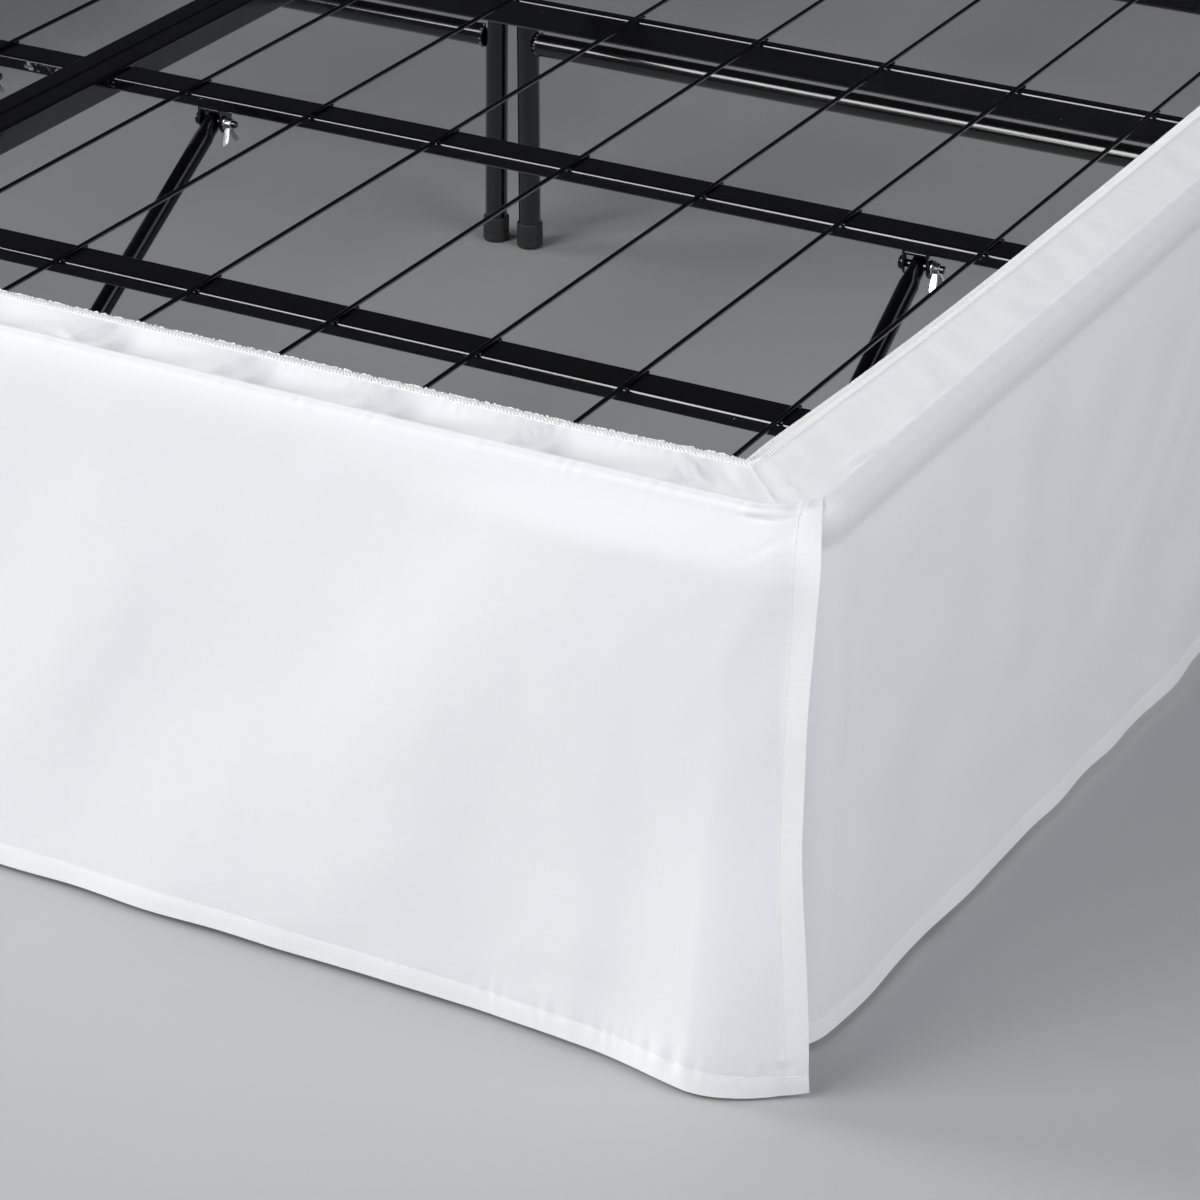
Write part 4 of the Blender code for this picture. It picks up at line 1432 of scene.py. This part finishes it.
def make_skirt():
    for name, end, fuzz in (("band_foot", -1, 0.0016), ("band_head", 1, 0.0012)):
        obj, band = end_band(name, end)
        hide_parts(name)
        edge = overlock(
            f"{name}_overlock", band, 0.0024 if end < 0 else 0.0030, fuzz, 7 + end
        )
    for hand, side in (("left", -1), ("right", 1)):
        obj, band = side_band(hand, side)
        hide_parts(f"band_{hand}")
        edge = overlock(
            f"band_{hand}_overlock",
            band,
            0.0024 if side > 0 else 0.0030,
            0.0005,
            17 + side,
        )
        obj, lines = side_panel(hand, side)
        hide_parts(f"panel_{hand}")
        sewn = stitches(
            f"panel_{hand}_stitches",
            [line_points(*line) for line in lines],
            obj,
            seed=23 + side,
        )
    obj, lines = foot_panel()
    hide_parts("panel_foot")
    sewn = stitches(
        "panel_foot_stitches", [line_points(*line) for line in lines], obj, seed=29
    )


# ---------------------------------------------------------------- frame
def wire_places():
    return [WIRE_FIRST + WIRE_PITCH * i for i in range(WIRES)]


def deck(where, hand, end, side):
    """A quarter's welded grille."""
    steel = Steel()
    near, far = CENTRE_RAIL_X[1] + PLAY, SIDE_RAIL_X[0] - PLAY
    rng = np.random.default_rng(sum(map(ord, where + hand)))
    for k, (_, y0, y1, low) in enumerate(CROSS):
        steel.box(
            (side * near, end * y0, low), (side * far, end * y1, DECK_Z), 0.0027, 5
        )
        # spatter beside the welds
        for _ in range(9):
            x = side * (near + (far - near) * rng.random())
            face = y0 if rng.random() < 0.8 else y1
            steel.blob(
                (x, end * face, low + 0.002 + (DECK_Z - low - 0.004) * rng.random()),
                (0.0006, 0.0005, 0.0006),
                seed=int(1e6 * rng.random()),
                rings=3,
                sides=6,
            )
        # the tube's ends are welded to the rails
        for x in (near + 0.0005, far - 0.0005):
            for _ in range(6):
                steel.blob(
                    (
                        side * (x + rng.normal(0, 0.0007)),
                        end * (y0 + 0.0004),
                        low + 0.001 + (DECK_Z - low - 0.002) * rng.random(),
                    ),
                    (0.0013, 0.0009, 0.0013),
                    wear=0.35 * rng.random(),
                    seed=int(1e6 * rng.random()),
                )
    height = DECK_Z + WIRE_R - WELD
    for x in wire_places():
        a, b = WIRE_ENDS
        r = WIRE_R
        steel.lathe(
            (side * x, end * a, height),
            (side * x, end * b, height),
            [
                (0.0, r * 0.55),
                (r * 0.45, r),
                (a - b - r * 0.45, r),
                (a - b, r * 0.55),
            ],
            12,
        )
        for _, y0, y1, low in CROSS:
            for hem in (-1, 1):
                for y in (y0 - 0.0016, y1 + 0.0016) if y0 - y1 > 0.015 else (y0, y1):
                    steel.blob(
                        (
                            side * (x + hem * 0.0016),
                            end * (y + rng.normal(0, 0.0004)),
                            DECK_Z + 0.0002,
                        ),
                        (0.0015, 0.0021, 0.0009),
                        wear=0.55 * rng.random() ** 2,
                        seed=int(1e6 * rng.random()),
                        rings=4,
                        sides=8,
                    )
    # the brackets that hold the braces: two cheeks with rounded ends
    y, z = BRACE_TOP
    outline = [(-0.0075, 0.0105), (0.0075, 0.0105)]
    outline += [
        (0.0070 * math.cos(t), 0.0068 * math.sin(t) - 0.0010)
        for t in np.linspace(0.0, -math.pi, 9)
    ]
    for x in BRACE_X:
        for cheek in (-1, 1):
            at = Vector(
                (side * x + cheek * (BRACE_R + 0.0016), end * (y - 0.002), z)
            )
            place = (
                Matrix.Translation(at)
                @ Matrix.Rotation(math.pi / 2, 4, "Y")
                @ Matrix.Rotation(math.pi / 2, 4, "Z")
            )
            steel.plate(
                outline, 0.0020, place, 0.0005, wear=0.10 if cheek > 0 else 0.0
            )
        steel.box(
            (side * x - 0.0098, end * y - end * 0.0095, CROSS[2][3] - 0.0018),
            (side * x + 0.0098, end * y + end * 0.0050, CROSS[2][3] + 0.0004),
            0.0006,
            2,
        )
    if where == "foot" and hand == "left":
        # paint scraped off by the fold, beside the centre rails
        steel.box(
            (-0.0560, -0.6078, 0.3425),
            (-0.0210, -0.6070, 0.3482),
            0.0002,
            1,
            wear=0.62,
        )
    return steel.build(f"deck_{where}_{hand}_steel", [BLACK], f"deck_{where}_{hand}")


def rail(kind, where, hand, low, high):
    steel = Steel()
    steel.box(low, high, 0.0019, 4)
    name = f"{kind}_{where}_{hand}"
    return steel.build(f"{name}_steel", [BLACK], name)


def leg(name, top, foot):
    top, foot = Vector(top), Vector(foot)
    length = (top - foot).length
    steel = Steel()
    steel.lathe(
        foot,
        top,
        [
            (CAP_H - 0.004, LEG_R),
            (CAP_H + 0.01, LEG_R),
            (length * 0.5, LEG_R),
            (length - 0.0006, LEG_R),
            (length, LEG_R - 0.0006),
        ],
        32,
    )
    steel.lathe(
        foot,
        top,
        [
            (0.0, CAP_R - 0.0018),
            (0.0004, CAP_R - 0.0008),
            (0.0013, CAP_R - 0.0001),
            (0.0024, CAP_R),
            (0.0060, CAP_R),
            (0.0064, CAP_R - 0.0003),
            (0.0070, CAP_R - 0.0003),
            (0.0074, CAP_R),
            (CAP_H - 0.0012, CAP_R - 0.0002),
            (CAP_H - 0.0003, CAP_R - 0.0005),
            (CAP_H, CAP_R - 0.0011),
            (CAP_H, LEG_R - 0.0004),
        ],
        32,
        which=1,
    )
    return steel.build(f"{name}_steel", [BLACK, PLASTIC], name)


def stretcher(name, start, end, seed):
    start, end = Vector(start), Vector(end)
    rng = np.random.default_rng(seed)
    steel = Steel()
    length = (end - start).length
    r = STRETCHER_R
    steel.lathe(
        start,
        end,
        [(0.0, r - 0.0005), (0.0005, r), (length - 0.0005, r), (length, r - 0.0005)],
        28,
    )
    for x in (start.x, end.x):
        into = 0.0008 if x == start.x else -0.0008
        into *= 1 if end.x > start.x else -1
        for k in range(14):
            t = 2 * math.pi * k / 14 + 0.2 * rng.random()
            steel.blob(
                (
                    x + into + rng.normal(0, 0.0003),
                    start.y + r * math.cos(t),
                    start.z + r * math.sin(t),
                ),
                (0.0015, 0.0014, 0.0014),
                wear=0.5 * rng.random() ** 2,
                seed=seed + k,
            )
    return steel.build(f"{name}_steel", [BLACK], name)


def brace(name, top, stop):
    """A round tube, pressed a little flat at its bolted top."""
    top, stop = Vector(top), Vector(stop)
    axis = (stop - top).normalized()
    across = Vector((1.0, 0.0, 0.0))
    lift = axis.cross(across).normalized()
    length = (stop - top).length
    steel = Steel()
    sides = 24
    stations = (
        # distance from the bolt, half thickness along X, half width
        (-0.0074, 0.0022, 0.0020),
        (-0.0070, 0.0036, 0.0040),
        (-0.0056, 0.0044, 0.0060),
        (-0.0030, 0.0048, 0.0073),
        (0.0030, 0.0050, 0.0077),
        (0.0090, 0.0052, 0.0076),
        (0.0125, 0.0060, 0.0072),
        (0.0160, BRACE_R, BRACE_R),
        (0.0220, BRACE_R, BRACE_R),
        (length - 0.0010, BRACE_R, BRACE_R),
        (length, BRACE_R - 0.0006, BRACE_R - 0.0006),
    )
    turns = [2 * math.pi * k / sides for k in range(sides)]
    verts = [
        top + axis * d + across * (a * math.cos(t)) + lift * (b * math.sin(t))
        for d, a, b in stations
        for t in turns
    ]
    faces = [
        (
            k * sides + j,
            k * sides + (j + 1) % sides,
            (k + 1) * sides + (j + 1) % sides,
            (k + 1) * sides + j,
        )
        for k in range(len(stations) - 1)
        for j in range(sides)
    ]
    faces.append(list(reversed(range(sides))))
    faces.append([(len(stations) - 1) * sides + j for j in range(sides)])
    # faces wind with the turn, so they are made to look outward
    middle = (verts[0] + verts[sides // 2]) / 2
    a, b, c = (verts[i] for i in faces[4 * sides][:3])
    if (b - a).cross(c - a).dot(a - middle) < 0:
        faces = [list(reversed(f)) for f in faces]
    steel.put(verts, faces)
    return steel.build(f"{name}_steel", [DULL], name)


def wing_nut(name, x, y, z):
    """A zinc-plated wing nut on its bolt, with the bolt's head beyond the
    bracket."""
    steel = Steel()
    # bolt, from the head's side to its end past the nut
    steel.lathe(
        (x - 0.0225, y, z),
        (x + 0.0095, y, z),
        [
            (0.0, 0.0026),
            (0.0004, 0.0046),
            (0.0030, 0.0052),
            (0.0034, 0.0050),
            (0.0035, 0.0027),
            (0.0310, 0.0027),
            (0.0317, 0.0022),
            (0.0320, 0.0018),
        ],
        12,
        which=1,
    )
    # hub, with its flange against the bracket
    steel.lathe(
        (x, y, z),
        (x + 0.0062, y, z),
        [
            (0.0, 0.0046),
            (0.0004, 0.0050),
            (0.0012, 0.0050),
            (0.0017, 0.0043),
            (0.0050, 0.0038),
            (0.0060, 0.0034),
            (0.0062, 0.0029),
        ],
        20,
    )
    # two wings hanging either side of the bolt
    outline = [
        (-0.0013, 0.0005),
        (0.0018, 0.0005),
        (0.0026, -0.0035),
        (0.0034, -0.0085),
        (0.0035, -0.0118),
        (0.0027, -0.0142),
        (0.0010, -0.0152),
        (-0.0008, -0.0146),
        (-0.0018, -0.0122),
        (-0.0019, -0.0085),
        (-0.0016, -0.0035),
    ]
    for lean in (-1, 1):
        place = (
            Matrix.Translation((x + 0.0030, y + lean * 0.0016, z - 0.0012))
            @ Matrix.Rotation(lean * math.radians(25), 4, "X")
            @ Matrix.Rotation(math.pi / 2, 4, "X")
            @ Matrix.Identity(4)
        )
        steel.plate(outline, 0.0019, place, 0.0006)
    return steel.build(f"{name}_zinc", [ZINC, BLACK], name)


def make_frame():
    for side, hand in ((-1, "left"), (1, "right")):
        for end, where in ((-1, "foot"), (1, "head")):
            deck(where, hand, end, side)
            begin = FOLD_Y if end < 0 else FOLD_Y + PLAY
            for kind, (x0, x1), low, stop in (
                ("side_rail", SIDE_RAIL_X, RAIL_LOW, RAIL_END),
                ("centre_rail", CENTRE_RAIL_X, CENTRE_LOW, CROSS[0][1]),
            ):
                rail(
                    kind,
                    where,
                    hand,
                    (side * x0, begin, low),
                    (side * x1, end * stop, RAIL_Z),
                )
            ground = Vector((0.0, end * LEG_ROWS["head"], STRETCHER_Z))
            y, z = BRACE_TOP
            for x, which in zip(BRACE_X, ("inner", "outer")):
                top = Vector((side * x, end * y, z))
                ground.x = top.x
                stop = ground + (top - ground).normalized() * (STRETCHER_R + 0.0005)
                brace(f"brace_{which}_{where}_{hand}", top, stop)
                wing_nut(
                    f"wing_nut_{which}_{where}_{hand}",
                    top.x + BRACE_R + 0.0026 + PLAY,
                    top.y,
                    top.z + 0.0005,
                )
        for k, (row, y) in enumerate(LEG_ROWS.items()):
            leg(
                f"leg_outer_{row}_{hand}",
                (side * OUTER_LEG_X, y, RAIL_LOW - PLAY),
                (side * OUTER_LEG_X, y, 0.0),
            )
            high, low = INNER_LEG_X[hand]
            leg(f"leg_inner_{row}_{hand}", (high, y, CENTRE_LOW - PLAY), (low, y, 0.0002))
            lean = low + (high - low) * STRETCHER_Z / CENTRE_LOW
            stretcher(
                f"stretcher_{row}_{hand}",
                (lean + side * (LEG_R + 0.0005), y, STRETCHER_Z),
                (side * (OUTER_LEG_X - LEG_R - PLAY), y, STRETCHER_Z),
                200 + 10 * k + side,
            )


make_frame()
make_skirt()


# ---------------------------------------------------------------- studio
def floor():
    m, tree, shader = material("pale_floor", (0.52, 0.525, 0.535), 0.62)
    n = Nodes(tree)
    at = n.new("ShaderNodeTexCoord").outputs["Object"]
    cloud = n.noise(at, 1.1, 3.0, 0.5)
    grain = n.noise(at, 260.0, 2.0, 0.6)
    n.link(
        n.mixed(cloud, (0.400, 0.404, 0.412), (0.432, 0.436, 0.444)),
        shader.inputs["Base Color"],
    )
    n.link(n.bump(grain, 0.06, 0.0004), shader.inputs["Normal"])
    mesh = bpy.data.meshes.new("floor")
    mesh.from_pydata(
        [(-14, -14, 0), (14, -14, 0), (14, 14, 0), (-14, 14, 0)], [], [(0, 1, 2, 3)]
    )
    mesh.materials.append(m)
    obj = bpy.data.objects.new("floor", mesh)
    bpy.context.scene.collection.objects.link(obj)


def softbox(name, place, target, width, height, energy, colour=(1.0, 1.0, 1.0)):
    lamp = bpy.data.lights.new(name, "AREA")
    lamp.shape = "RECTANGLE"
    lamp.size, lamp.size_y = width, height
    lamp.energy = energy
    lamp.color = colour
    obj = bpy.data.objects.new(name, lamp)
    obj.location = place
    aim = Vector(target) - Vector(place)
    obj.rotation_mode = "QUATERNION"
    obj.rotation_quaternion = aim.to_track_quat("-Z", "Y")
    bpy.context.scene.collection.objects.link(obj)


floor()
AIM = (0.4, -0.7, 0.2)
softbox("key_high", (-1.6, -3.4, 3.4), AIM, 1.8, 1.8, 84.0)
softbox("key_left", (-4.5, -1.5, 1.7), AIM, 1.8, 1.8, 212.0, (1.0, 0.995, 0.985))
softbox("front", (-0.6, -4.8, 2.4), AIM, 1.8, 1.8, 76.0)
softbox("right_high", (3.6, -0.9, 2.6), AIM, 2.4, 2.4, 70.0, (0.95, 0.98, 1.0))
softbox("right_low", (3.9, -2.4, 1.3), AIM, 2.0, 2.0, 33.0, (0.93, 0.97, 1.0))

world = bpy.data.worlds.new("studio")
bpy.context.scene.world = world
world.use_nodes = True
sky = world.node_tree.nodes["Background"]
sky.inputs["Color"].default_value = (0.93, 0.96, 1.0, 1.0)
sky.inputs["Strength"].default_value = 0.02

view = bpy.context.scene.view_settings
view.view_transform = "Standard"
view.look = "None"
view.exposure = 0.0
view.gamma = 1.0
